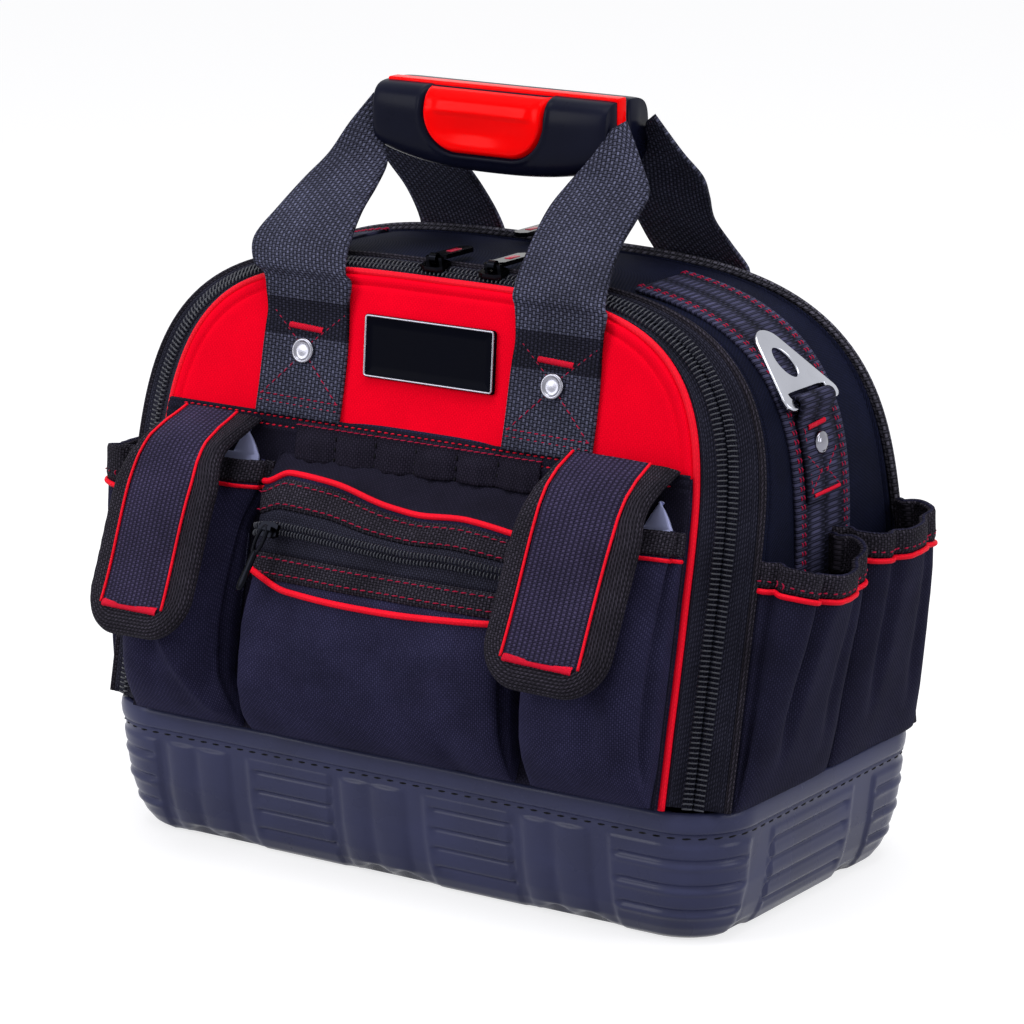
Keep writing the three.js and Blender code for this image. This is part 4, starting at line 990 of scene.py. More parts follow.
def bar_tack(name, start, stop, out, width=2.4, pitch=0.55):
    """A row of threads worked side by side, each of them across the bar."""
    start, stop, out = np.asarray(start, float), np.asarray(stop, float), unit(out)
    ahead = unit(stop - start)
    across = np.cross(out, ahead)
    count = max(int(np.linalg.norm(stop - start) / pitch), 4)
    rng = np.random.default_rng(3)
    s = np.linspace(-1, 1, 5)[:, None]
    threads = []
    for k in range(count):
        middle = start + (stop - start) * (k + 0.5) / count
        reach = width / 2 * (1 + rng.uniform(-0.08, 0.12))
        path = middle + across * s * reach + out * (0.55 * (1 - s ** 4) - 0.15) + ahead * 0.12 * s
        threads.append(tube_piece("thread", path, pitch * 0.62, 6, out))
    return merge(name, threads)


print("a rivet's head is", 2 * RIVET_CAP[0][0], "mm wide")

# %% [markdown]
# Below the red panel the door has a second layer of black cloth that all the pockets are sewn to. Its
# top edge is folded under and held by two rows of red thread, which pull the fold down in small dips.

# %% Lower cloth of the front door
CLOTH_ROWS = np.concatenate([[0.6], np.linspace(4, 146, 26), np.linspace(148, 157.5, 12)])
STITCH_LEVELS = (155.6, 151.2)


def lower_cloth():
    share = np.linspace(-1, 1, 101)
    rows = []
    for v in CLOTH_ROWS:
        reach = (1 - max((v - DOOR[2]) / (DOOR[1] - DOOR[2]), 0) ** DOOR[3]) ** (1 / DOOR[3])
        x = share * (DOOR[0] * reach - 1.4)
        fold = 0.9 * ease((v - 146) / 4) - 1.6 * ease((v - 156.6) / 0.9)
        fold -= 0.7 * bump(v, STITCH_LEVELS[0], 0.8) + 0.6 * bump(v, STITCH_LEVELS[1], 0.8)
        rows.append(table(x, -5.9 - fold - 0.4 * ripple(x, v, 21, size=38) * ease((157 - v) / 8), v))
    return sheet_piece("front lower cloth", on_door(np.array(rows)), door_out(), 1.1)


cloth = finish(lower_cloth(), painted_shade_cloth, "front_door", "black_cloth", "front_lower_cloth")
for k, v in enumerate(STITCH_LEVELS):
    row = on_door(table(np.linspace(-142, 142, 120), -6.45, v))
    stitches = stitch_row(f"lower cloth stitches {k + 1}", row, door_out(), thread_red, stitch)
    finish(stitches, thread_red, "front_door", "red_cloth")
print("lower cloth sewn on")

# %% [markdown]
# The handle straps are 50 mm webbing. Each lies flat on the door as a tab, held by a red cross of
# stitches, a bar-tack and a rivet, and then stands free, leans out and runs up to the end of the grip,
# where it turns and tapers into the moulding. It is one length of webbing that belongs to the door
# below the fold line and to the grip above it; here it stays where it is drawn and moves with neither.

# %% Webbing straps
STRAP_FACE, STRAP_MIDDLE, STRAP_STATIONS = -7.2, 73.0, 92
# up the tab: height, how far each edge is pinched in, and how far it stands off the door
TAB = ((156.5, 0, 0.6), (172, 0, 0), (188, 0, 0), (199, -0.4, 0.3), (208, -1.0, 0.4),
       (217, -0.6, 1.4), (225, 0.5, 2.2))
# from the tab to the grip: the inner and the outer edge
LEFT_STRAP = (((-53, -65.2, 296.5), (-107, -66.6, 296.0)), ((-57, -56, 308), (-113, -58, 307)),
              ((-59, -43, 322), (-107, -45, 321)), ((-58, -31, 334), (-100, -33, 334)),
              ((-58, -22, 344), (-91, -25, 346)), ((-62, -17.5, 351), (-82, -20, 361)),
              ((-66, -13, 356), (-72, -13, 376)))
RIGHT_STRAP = (((46, -65.6, 296.5), (97, -65.2, 296.0)), ((44.5, -56.5, 308), (94, -56, 307)),
               ((44.5, -44.5, 322), (92, -43, 321)), ((46, -34, 334), (95, -33, 334)),
               ((52, -26.5, 345), (96, -25, 345)), ((62, -23.5, 357), (88, -19, 357)),
               ((70, -17, 371), (76, -13, 375)))
FOLD_START, FOLD_END = (0, -66.0, 289.0), (0, -59.0, 303.0)
# between these heights the webbing is darker, painted shade where the strap folds
NECK_FROM, NECK_TO = 0.2625, 0.280      # metres above the floor, where the webbing is pulled thin
CROSS = (((-22.5, 166.5), (22.5, 165.5)), ((-22.5, 166.5), (-3.5, 185)), ((22.5, 166), (4, 185)),
         ((-22, 210), (-4, 194)), ((22, 209), (4, 194)), ((-22.5, 163), (22.5, 162)))


def strap(name, side, rear, upper):
    inner, outer = [], []
    for v, pinch, lift in TAB:
        drift = 0.12 * max(v - 205, 0) if upper is LEFT_STRAP else 0.0
        inner.append(on_door((side * (48 - pinch + 0.6 * drift), STRAP_FACE - lift, v)))
        outer.append(on_door((side * (98 + pinch + drift), STRAP_FACE - lift, v)))
    mirror = np.array([side if upper is RIGHT_STRAP else -side, 1, 1])
    inner += [mirror * a for a, b in upper]
    outer += [mirror * b for a, b in upper]
    a, b = smooth_path(inner, STRAP_STATIONS), smooth_path(outer, STRAP_STATIONS)
    share = np.linspace(0, 1, 17)
    grid = a[:, None] + (b - a)[:, None] * share[None, :, None]
    out = unit(np.cross(tangents(grid[:, 8]), unit(b - a)))
    out *= -np.sign(out[:, 1:2])
    run = np.linspace(0, 1, STRAP_STATIONS)[:, None]
    crown = 1.5 * (1 - (2 * share - 1) ** 2) * ease((run - 0.42) / 0.2) * ease((1.02 - run) / 0.2)
    crease = 0.35 * ripple(run * 150, share[None] * 50, 31 + int(side), size=42) * ease((run - 0.35) / 0.1)
    selvage = -0.35 * (bump(share, 0.03, 0.02) + bump(share, 0.97, 0.02))
    grid = half_turn(grid + out[:, None] * (crown + crease + selvage)[..., None], rear)
    piece = sheet_piece(name, grid, (0, 1 if rear else -1, 0.5), 2.1)
    # the neck band gets the darker webbing, painted shade at the fold
    for material in (webbing, neck_shade_webbing):
        piece.data.materials.append(material)
    for polygon in piece.data.polygons:
        polygon.material_index = int(NECK_FROM < polygon.center.z < NECK_TO)
    return settle(piece)


for end, rear in ENDS:
    fold = half_turn((FOLD_START, FOLD_END), rear) * MM
    out = door_out(rear)
    for label, side in SIDES:
        local = -side if rear else side
        upper = RIGHT_STRAP if rear or side > 0 else LEFT_STRAP
        piece = strap(f"{end} {label} strap webbing", local, rear, upper)
        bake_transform(piece)
        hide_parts(f"{end}_{label}_strap", f"{end}_{label}_strap_tab")

        def spot(x, v, local=local, rear=rear):
            return on_door((local * STRAP_MIDDLE + x, STRAP_FACE - 0.25, v), rear)

        cap = turned_cap(f"{end} {label} strap rivet", RIVET_CAP, spot(0, 189.5), out)
        finish(cap, nickel, f"{end}_door", "chrome", f"{end}_{label}_rivet")
        cross = [(spot(*a), spot(*b)) for a, b in CROSS]
        stitch_rows(f"{end} {label} strap stitches", cross, out, f"{end}_door")
        tack = bar_tack(f"{end} {label} strap bar tack", spot(-10, 201.5), spot(10, 200.5), out, 2.6)
        finish(tack, thread_red, f"{end}_door", "red_cloth")
print("four straps, each of", len(piece.data.polygons), "faces")

# %% [markdown]
# The grip is moulded in two halves, one for each door, that meet when the bag is shut. A half is a
# D-shaped bar, bowed a little downwards, and the front one has a U-shaped window with a soft red
# insert, which also shows as a thin red line along the top.

# %% Grip
GRIP_HALF, GRIP_TOP, GRIP_LOW, GRIP_DEPTH = 68.0, 383.0, 341.5, 20.0
WINDOW_CENTRE, WINDOW_HALF, WINDOW_LOW, WINDOW_RADIUS = -3.0, 35.5, 351.0, 20.0
SEAM_GAP = 0.45
LINER_LOW, LINER_HIGH = (-66.0, -9.0, 371.0), (68.5, -1.0, 384.2)


def grip_section(x, share):
    """Half section of the grip at x: share runs -1 at the bottom seam to 1 at the top one."""
    bottom = GRIP_LOW + 9.0 * np.abs(x / GRIP_HALF) ** 2.6
    middle, half = (GRIP_TOP + bottom) / 2, (GRIP_TOP - bottom) / 2
    end = (1 - np.minimum(np.abs(x) / (GRIP_HALF + 0.6), 1) ** 16) ** (1 / 8)
    a = share * np.pi / 2
    z = middle + half * (0.88 + 0.12 * end) * np.sign(a) * np.abs(np.sin(a)) ** 0.62
    return GRIP_DEPTH * (0.72 + 0.28 * end) * np.abs(np.cos(a)) ** 0.5, z


def window_gap(x, z):
    """How far a point is outside the window's U, less than nothing inside it."""
    q = table(np.abs(x - WINDOW_CENTRE) - WINDOW_HALF, np.abs(z - WINDOW_LOW - 60) - 60) + WINDOW_RADIUS
    return np.linalg.norm(np.maximum(q, 0), axis=-1) + np.minimum(q.max(axis=-1), 0) - WINDOW_RADIUS


def grip_half(name, side, has_window):
    share = np.linspace(-1, 1, 97)
    rings = []
    for x in np.concatenate([[-68.0, -67.6, -66.8], np.linspace(-65.6, 65.6, 146), [66.8, 67.6, 68.0]]):
        depth, z = grip_section(x, share)
        if has_window:
            gap = window_gap(x, z)
            sunk = 0.5 * bump(gap, 1.6, 1.1) - 2.6 * ease((0.5 - gap) / 1.1)
            depth = depth + sunk * ease((depth - 3) / 4)
        seam = 0.5 * ease((3 - depth) / 2)
        rings.append(table(x, side * (SEAM_GAP + depth), z - seam * np.sign(share)))
    return closed_piece(name, rings)


def grip_insert():
    levels = np.concatenate([[351.2, 351.6, 352.2, 353.0], np.linspace(354, 382.2, 36)])
    share = np.concatenate([[-1, -0.985, -0.965, -0.94], np.linspace(-0.91, 0.91, 44),
                            [0.94, 0.965, 0.985, 1]])
    fine = np.linspace(-1, 1, 401)
    rows = []
    for level in levels:
        below = max(WINDOW_LOW + WINDOW_RADIUS - level, 0)
        half = WINDOW_HALF - WINDOW_RADIUS + math.sqrt(max(WINDOW_RADIUS ** 2 - below ** 2, 0)) - 0.25
        x = share * half
        depth = []
        for place in WINDOW_CENTRE + x:
            out, z = grip_section(place, fine)
            depth.append(np.interp(level, z, out))
        edge = np.minimum(-window_gap(WINDOW_CENTRE + x, level), level - WINDOW_LOW)
        ledge = (0.9 * ease((level - 369.5) / 2.5) * ease((30 - np.abs(x)) / 5)
                 * ease((379.5 - level) / 4 + 0.4))
        dish = -1.5 * bump(x, -4, 21) * bump(level, 363.0, 6.0)
        lift = -2.3 + 2.9 * ease(edge / 2.2) + (ledge + dish) * ease((edge - 2) / 5)
        rows.append(table(WINDOW_CENTRE + x, -(SEAM_GAP + np.array(depth) + lift), level))
    return sheet_piece("grip red insert", rows, (0, -1, 0))


def rounded_slab(name, low, high, radius, steps=5):
    """A slab with soft edges, from its lowest to its highest corner."""
    shape = bmesh.new()
    bmesh.ops.create_cube(shape, size=1.0)
    low, high = np.asarray(low, float), np.asarray(high, float)
    for vertex in shape.verts:
        vertex.co = Vector((low + (np.array(vertex.co) + 0.5) * (high - low)) * MM)
    bmesh.ops.bevel(shape, geom=shape.edges, offset=radius * MM, segments=steps, profile=0.5, affect="EDGES")
    mesh = bpy.data.meshes.new(name)
    shape.to_mesh(mesh)
    shape.free()
    smooth(mesh)
    return new_object(name, mesh)


finish(grip_half("front grip shell", -1, True), grip_black, "front_handle", "grip_black", "front_grip_half")
finish(grip_insert(), grip_red, "front_handle", "grip_red", "front_grip_insert")
finish(rounded_slab("grip red liner", LINER_LOW, LINER_HIGH, 1.0), grip_red, "front_handle", "grip_red")
finish(grip_half("rear grip shell", 1, False), grip_black, "rear_handle", "grip_black", "rear_grip_half")
print("grip made")

# %% [markdown]
# The plate between the straps is a small casting with a gloss black face in a thin bright frame. It
# stays bare here.

# %% Bare plate
PLATE_LOW, PLATE_HIGH, PLATE_HALF, PLATE_SLANT = 181.2, 211.8, 38.0, 0.09
# inset from the outline, and place out of the door
PLATE_PROFILE = ((0.5, -4.4), (0.0, -4.9), (0.0, -6.7), (0.4, -7.1), (1.3, -7.15), (1.7, -6.85), (6, -6.8))


def plate_ring(inset, y):
    """The plate's outline, drawn in by `inset`, on the door."""
    radius, middle = max(1.8 - inset, 0.4), (PLATE_LOW + PLATE_HIGH) / 2
    points = []
    for sx, sv, start in ((1, 1, 0), (-1, 1, 90), (-1, -1, 180), (1, -1, 270)):
        a = np.radians(start + np.linspace(0, 90, 7))
        points.append(table(sx * (PLATE_HALF - inset - radius) + radius * np.cos(a), y,
                            sv * (PLATE_HIGH - middle - inset - radius) + radius * np.sin(a)))
    points = np.vstack(points)
    points[:, 0] -= PLATE_SLANT * points[:, 2]
    points[:, 2] += middle
    return on_door(points)


field = closed_piece("plate field", [plate_ring(*step) for step in PLATE_PROFILE])
finish(field, plate_gloss, "front_door", "plate_black", "name_plate")
rim = plate_ring(0.75, -7.1)
rim = even_path(np.vstack([rim, rim[:1]]), 0.8)[:-1]
finish(tube_loop("plate frame", rim, 0.55, 8, door_out()), nickel, "front_door", "chrome")
print("plate made")

# %% [markdown]
# A pocket is a skin of cloth sewn on along its sides and its foot. Cut through level with the floor it
# is a flattened loop: it leaves the backing square, turns a soft corner and runs across the front. Its
# depth changes with height, small at the foot and fullest a third of the way up, so the skin is lofted
# through those levels. Box pleats let it open, so the cloth falls in deep folds beside each corner.

# %% Pocket skins
CLOTH_FACE = -6.3
CENTRE_HALF, CENTRE_TOP, LID_TOP = 78.0, 134.0, 138.5
CENTRE_WIDTHS = ((0, 10, 30, 55, 77, 100, 118, 134), (77, 78.5, 77.5, 75.5, 74, 76, 78.8, 81))
# height and depth up each kind of pocket
CENTRE_LEVELS = ((1.5, 5), (4, 9.5), (8, 14.5), (15, 20), (25, 25.5), (40, 29), (55, 30.6), (76, 30.4),
                 (90, 28.2), (102, 25.6), (118, 21), (130, 17.6), (134, 16.0))
FLAP_LEVELS = ((1.5, 5), (4, 9), (8, 14.5), (15, 21), (25, 26.5), (38, 30), (50, 31.4), (65, 30.4),
               (80, 27.4), (95, 23.5), (110, 19.4), (122, 15), (134, 11))
FLAP_HALF, FLAP_CENTRE = 34.5, 117.5
FOOT_ROWS = (1.2, 2.5, 4, 6, 8, 11)
FRONT_OUT, SIDE_OUT = (0, -1, 0), (1, 0, 0)


def skin_row(levels, v, half, power, columns):
    """One level of a pocket from its left seam round the front to its right seam: places across and
    out, the way out of the cloth, the share of the way round, and the pocket's depth there."""
    depth = np.interp(v, *np.array(levels).T)
    x, d = plan(half, depth, power, np.pi * (1 - np.linspace(0, 1, columns)))
    t = tangents(table(x, d))
    return x, d, -t[:, 1], t[:, 0], np.linspace(-1, 1, columns), depth


def pocket_skin(name, centre, half_at, levels, power, heights, columns, shape):
    """`shape(x, v, run, out)` says how far each point is pushed out and up, which makes the folds."""
    rows = []
    for v in heights:
        x, d, nx, nd, run, depth = skin_row(levels, v, half_at(v), power, columns)
        push, rise = shape(x, v, run, d / max(depth, 1))
        rows.append(table(centre + x + nx * push, CLOTH_FACE - d - nd * push, v + rise))
    rows = np.array(rows)
    return sheet_piece(name, on_door(rows), door_out()), rows


def centre_half(v):
    return np.interp(v, *CENTRE_WIDTHS)


def centre_mouth(x):
    """Where the pocket's top piping runs: it humps near the left and falls to the right."""
    hump = 3.2 * bump(x, -56, 22) + 3.0 * bump(x, -30, 18) + 4.0 * ease((x - 12) / 34)
    return -11.0 - 0.09 * x + hump - 5.5 * ease((-62 - x) / 16) - 1.0 * ease((x - 50) / 30)


def shape_centre(x, v, run, out):
    front = ease((out - 0.6) / 0.4)
    sag = 1.6 * ripple(x, v, 41, size=90) * ease((v - 6) / 20)
    side_fold = -7.5 * bump(np.abs(run), 0.66, 0.05) * ease((v - 4) / 24) * ease((150 - v) / 60)
    puff = 1.2 * np.cos(x / CENTRE_HALF * 1.4) * bump(v, 48, 34)
    wrinkle = 0.5 * ripple(x * 0.8, v * 1.5, 43, size=30) * ease((v - 4) / 10)
    foot = -2.4 * bump(x, 48, 7) * ease((30 - v) / 26)
    lift = 1.5 * ease((v - 60) / 30) * (np.cos(x / 30.0) - 0.6)
    return (sag + puff + wrinkle + foot + lift) * front + side_fold, centre_mouth(x) * ease((v - 86) / 46)


centre_rows = np.concatenate([FOOT_ROWS, np.linspace(15, 74, 26), np.linspace(76, CENTRE_TOP, 40)])
skin, centre_grid = pocket_skin("centre pocket", 0.0, centre_half, CENTRE_LEVELS, 9, centre_rows, 170,
                                shape_centre)
finish(skin, black_cloth, "front_door", "black_cloth", "centre_pocket")


def across_skin(grid, levels, v, push, span, facing=FRONT_OUT):
    """A line across a pocket's skin at height v, pushed out of the cloth, and the way out along it."""
    k = float(np.interp(v, levels, np.arange(len(levels))))
    i = min(int(k), len(levels) - 2)
    line = grid[i] * (1 - k + i) + grid[i + 1] * (k - i)
    out = unit(np.cross(tangents(line), unit(grid[i + 1] - grid[i])))
    out *= np.sign(out[len(out) // 2] @ np.array(facing, float))
    seen = slice(*(int(share * len(line)) for share in span))
    return (line + out * push)[seen], out[seen]


def pocket_band(name, grid, levels, v_low, v_high, push, rows, span, thickness=0.9, pucker=0.12):
    """A band of tape sewn along a pocket's skin between two heights."""
    lines = []
    for k, v in enumerate(np.linspace(v_low, v_high, rows)):
        inside = 0 < k < rows - 1
        line, out = across_skin(grid, levels, v, push - (0 if inside else 0.5), span)
        wave = pucker * inside * np.sin(np.arange(len(line)) * 0.9 + k * 0.7)
        lines.append(line + out * wave[:, None])
    return sheet_piece(name, on_door(np.array(lines)), door_out(), thickness)


def pocket_line(name, grid, levels, v, push, radius, span, wave=lambda x: 0 * x):
    """A cord along a pocket's skin; `wave` lifts it where the cloth sags."""
    line = across_skin(grid, levels, v, push, span)[0]
    line[:, 2] += wave(line[:, 0])
    return tube_piece(name, on_door(even_path(line, 1.6)), radius, 10, door_out())


print("centre pocket:", len(skin.data.polygons), "faces")

# %% [markdown]
# The centre pocket is closed: a lid of cloth slopes back from its top piping to the door, and its zip
# runs across the face between two bands of ribbed tape, each with a row or two of red thread. Red
# piping marks the top edge and the foot of the lower band.

# %% Centre pocket's lid, zip bands and piping
ZIP_SPAN, LOWER_SPAN = (0.128, 0.872), (0.147, 0.853)
top_line = across_skin(centre_grid, centre_rows, CENTRE_TOP, 0.0, (0.0, 1.0))[0]
lid = []
for share in np.linspace(0, 1, 12):
    x, y, v = top_line.T
    sag = 2.0 * np.sin(share * np.pi) * (1 + 0.4 * np.sin(x / 13))
    lid.append(table(x, y * (1 - share) + (CLOTH_FACE - 0.2) * share, v + (LID_TOP - v) * ease(share) - sag))
lid = sheet_piece("centre pocket lid", on_door(np.array(lid)), (0, -1, 1), 1.0)
finish(lid, painted_shade_cloth, "front_door", "black_cloth")
centre = (centre_grid, centre_rows)
bands = [settle(pocket_band("band", *centre, 78.5, 91, 1.0, 7, LOWER_SPAN)),
         settle(pocket_band("band", *centre, 114, 129.5, 1.0, 7, (0.112, 0.888)))]
finish(merge("centre pocket zip bands", bands), binding, "front_door", "black_cloth")
tape = pocket_band("centre pocket zip tape", *centre, 91, 114, 0.7, 9, ZIP_SPAN, 0.7, 0.0)
finish(tape, zip_tape, "front_door", "zip_coil", "pocket_zip")
path, out = across_skin(*centre, 103.5, 1.5, ZIP_SPAN)
coil_out = on_door(path + out) - on_door(path)
coils = []
for side, mould, start in ((-1, small_tooth_back, 0.0), (1, small_tooth, SMALL_PITCH / 2)):
    row = on_door(path + np.array([0, 0, side * 1.6]))
    coils.append(lay_along("row", row, coil_out, mould, SMALL_PITCH, coil_nylon, start))
finish(merge("centre pocket zip coil", coils), coil_nylon, "front_door", "zip_coil")
cords = [pocket_line("line", *centre, 77.0, 0.8, 1.6, LOWER_SPAN,
                     lambda x: -1.0 - 3.6 * np.cos(x / 46.0) + 6.0 * ease((-46 - x) / 30)),
         pocket_line("line", *centre, 132.5, 0.5, 1.5, (0.085, 0.915))]
finish(merge("centre pocket piping", cords), piping_red, "front_door", "red_cloth")
threads = []
for v in (81.5, 88.5, 116.5, 127.0):
    line, out = across_skin(*centre, v, 1.4, (0.148, 0.852))
    facing = on_door(line[:1] + out[len(out) // 2]) - on_door(line[:1])
    threads.append(stitch_row("row", on_door(line), facing, spacing=4.6))
finish(merge("centre pocket stitches", threads), thread_dim, "front_door", "red_cloth")
print("centre pocket sewn")

# %% [markdown]
# Above it runs a band of webbing sewn down every few centimetres, so that it makes slack loops for
# small tools. Its upper edge is stitched along, the lower edge hangs free and dips in between.

# %% Tool loop band
LOOP_HALF, LOOP_LOW, LOOP_HIGH, LOOP_SEAM = 71.5, 137.5, 155.0, 23.8


def loop_swell(x):
    return np.abs(np.sin(np.pi * x / LOOP_SEAM)) ** 0.7


x = np.linspace(-LOOP_HALF, LOOP_HALF, 160)
rows = []
for share in np.linspace(0, 1, 12):
    stand = 2.6 * loop_swell(x) * (1 - 0.72 * ease((share - 0.45) / 0.5)) + 0.5
    fold = 0.5 * np.sin(x * 0.7 + share * 2.4) * (1 - share)
    sag = (np.sin(x / 31) - 0.8 * loop_swell(x)) * (1 - share)
    rows.append(table(x, -6.7 - stand - fold, LOOP_LOW + (LOOP_HIGH - LOOP_LOW) * share + sag))
band = sheet_piece("tool loop band webbing", on_door(np.array(rows)), door_out(), 1.3)
finish(band, loop_cloth, "front_door", "black_cloth", "tool_loop_band")
seams = [on_door([(k * LOOP_SEAM, -7.6, LOOP_LOW + 1), (k * LOOP_SEAM, -7.9, LOOP_HIGH - 1)])
         for k in (-2, -1, 0, 1, 2)]
stitch_rows("tool loop seams", seams, door_out(), "front_door", thread_black, stitch, "black_cloth")
x = np.linspace(1 - LOOP_HALF, LOOP_HALF - 1, 100)
top_row = on_door(table(x, -8.1 - 0.9 * loop_swell(x), 153.4))
finish(stitch_row("tool loop top stitches", top_row, door_out()), thread_dim, "front_door", "red_cloth")
print("tool loops sewn")

# %% [markdown]
# The pockets at the two ends have an open mouth bound with ribbed tape, with red piping under the
# binding, and a stiff divider with a pale foam tip stands up out of each. Deep folds run down them.

# %% End pockets of the front door
# how far the right pocket stands over, how far its mouth and its divider are lower; left has none
END_SHIFT, MOUTH_DROP, DIVIDER_DROP = {-1: 0.0, 1: 2.0}, {-1: 0.0, 1: 4.5}, {-1: 0.0, 1: 4.0}
DIVIDER_X = {-1: -123.0, 1: 117.5}
DIVIDER_HALF, DIVIDER_SHOULDER, DIVIDER_PEAK, TIP_HALF = 30.0, 134.0, 148.0, 7.7


def end_half(v):
    return FLAP_HALF - 1.5 * bump(v, 2, 12)


def shape_end(side):
    def shape(x, v, run, out):
        front = ease((out - 0.5) / 0.5)
        folds = (-3.2 * bump(x, side * 9 + 3 * math.sin(v / 34), 6.5) * ease((v - 8) / 40)
                 - 2.2 * bump(x, -side * 14, 5) * ease((v - 20) / 60))
        corner = -5.0 * bump(np.abs(run), 0.74, 0.07) * ease((v - 4) / 22)
        soft = 0.9 * ripple(x, v, 51 + side, size=60) * front
        gape = 2.0 * ease((v - 105) / 30) * np.cos(x / FLAP_HALF * 1.5) * front
        rise = -1.6 * ease((v - 100) / 34) * np.cos(x / 14.0 + side) - MOUTH_DROP[side] * ease((v - 85) / 45)
        if side < 0:
            gape = gape - 10.0 * ease((x - 9) / 17) * ease((v - 8) / 20) * (1 - ease((v - 98) / 25))
            gape += 3.2 * bump(v + 1.25 * x, 38, 6) * ease((v - 4) / 8) * ease((x + 14) / 10)
        return folds * front + corner + soft + gape, rise
    return shape


def divider(name, side):
    share = np.linspace(0, 1, 9)
    rows = []
    for v in np.concatenate([np.linspace(60, 134, 20), np.linspace(135.5, 148.0, 10)]):
        left, right = -DIVIDER_HALF, DIVIDER_HALF
        if v > DIVIDER_SHOULDER:
            lean = TIP_HALF * ((v - DIVIDER_SHOULDER) / (DIVIDER_PEAK - DIVIDER_SHOULDER)) ** 1.25
            left, right = DIVIDER_HALF - 2 * TIP_HALF + lean, DIVIDER_HALF - lean
        rows.append(table(DIVIDER_X[side] + left + (right - left) * share, -8.4 - 0.5 * np.sin(share * np.pi),
                          v - DIVIDER_DROP[side]))
    return sheet_piece(name, on_door(np.array(rows)), door_out(), 2.2)


END_ROWS = np.concatenate([FOOT_ROWS, np.linspace(15, 134, 58)])
for label, side in SIDES:
    middle = side * FLAP_CENTRE + END_SHIFT[side]
    skin, grid = pocket_skin(f"{label} end pocket", middle, end_half, FLAP_LEVELS, 3.6, END_ROWS, 96,
                             shape_end(side))
    finish(skin, black_cloth, "front_door", "black_cloth", f"{label}_flap_pocket")
    bind = pocket_band(f"{label} end pocket binding", grid, END_ROWS, 122.5, 134.0, 1.0, 9,
                       (0.02, 0.98), 3.4, 0.15)
    finish(bind, binding, "front_door", "black_cloth")
    cord = pocket_line(f"{label} end pocket piping", grid, END_ROWS, 120.5, 0.7, 1.0, (0.03, 0.97))
    finish(cord, piping_red, "front_door", "red_cloth")
    finish(divider(f"{label} foam divider", side), foam_pale, "front_door", "pad_pale", f"{label}_pocket_pad")
print("end pockets sewn")

# %% [markdown]
# A padded flap closes each end pocket. It is foam between two cloths, sewn on at its top edge, and it
# rolls over the seam before it hangs, standing well off the pocket below. The foam body is inflated a
# little by a cloth simulation, then come the ribbed webbing down its middle with a red line at each
# edge, the wide ribbed binding round the rim, and a red bar-tack at the foot. The bar-tack moves with
# the flap, and the other pieces stay where they are drawn.

# %% Flap shapes
FLAP_PIVOT_Y, FLAP_PIVOT_V, FLAP_X = -8.5, 162.0, 112.0
FLAP_TILT, FLAP_LENGTH, FLAP_CORNER = math.radians(19.5), 118.0, 22.0
FLAP_WIDE, FLAP_NECK, FLAP_THICK = 33.8, 25.5, 6.0
FLAP_ROLL = ((0, 0.8), (5, 4.2), (12, 8.4), (22, 11.6), (33, 12.6), (50, 11.6), (80, 9.2),
             (105, 7.2), (120, 6.2))
STRIP_HALF, FLAP_FOOT = 21.5, 105.5
# yaw, twist, slide, stretch, drop, pinch at the neck, belly, flare of the right shoulder
FLAP_HANG = {-1: (math.radians(-1.2), math.radians(9.0), -9.5, 1.03, 7.5, 0.76, 5.5, 12.0),
             1: (math.radians(-0.5), 0.0, 0.5, 1.0, 1.4, 1.0, 2.0, 9.0)}
NECK_BEND = ((0, 4, 0), (0, 36, 12))
# inset from the flap's edge, and height over its face, round the folded binding
BINDING_SECTION = ((13.0, 0.1), (12.4, 1.1), (9.5, 1.5), (5.5, 1.5), (2.6, 1.1), (0.9, 0.3), (-0.5, -1.3),
                   (-0.9, -3.0), (-0.5, -4.7), (0.9, -6.2), (2.6, -6.8), (6.0, -7.1), (9.0, -6.9))


def flap_face(s):
    return np.interp(s, *np.array(FLAP_ROLL).T)


def flap_shoulder(s):
    return FLAP_NECK + (FLAP_WIDE - FLAP_NECK) * ease(s / 48)


def on_flap(x, s, h, side):
    """x across the flap, s down it from the fold, h out of its face. The left flap hangs twisted."""
    x, s, h = np.moveaxis(table(x, s, h), -1, 0)
    yaw, twist, slide, longer, sunk, pinch, belly, flare = FLAP_HANG[side]
    turn = twist * (0.4 + 0.6 * ease(s / 40))
    x = x + flare * (1 - ease(s / 34)) * np.clip((x - STRIP_HALF) / (FLAP_NECK - STRIP_HALF), 0, 1)
    x = x * (pinch + (1 - pinch) * ease(s / 48))
    h = h + belly * ease(s / 28) * (1 - 0.7 * ease((s - 45) / 60))
    x, h = x * np.cos(turn) - h * np.sin(turn) + slide, h * np.cos(turn) + x * np.sin(turn)
    s = s * longer
    across = x * math.cos(yaw) + s * math.sin(yaw)
    down = s * math.cos(yaw) - x * math.sin(yaw)
    y = FLAP_PIVOT_Y - down * math.sin(FLAP_TILT) - h * math.cos(FLAP_TILT)
    v = FLAP_PIVOT_V - sunk - down * math.cos(FLAP_TILT) + h * math.sin(FLAP_TILT)
    return on_door(table(side * FLAP_X + across, y, v))


def flap_outline():
    s = np.linspace(1.0, FLAP_LENGTH - FLAP_CORNER, 44)
    a = np.linspace(0, np.pi / 2, 24)[1:]
    bend = table(FLAP_CORNER - FLAP_WIDE - FLAP_CORNER * np.cos(a),
                 FLAP_LENGTH - FLAP_CORNER + FLAP_CORNER * np.sin(a))
    half = np.vstack([table(-flap_shoulder(s), s), bend])
    return even_path(np.vstack([half, half[::-1] * np.array([-1, 1])]), 2.0)


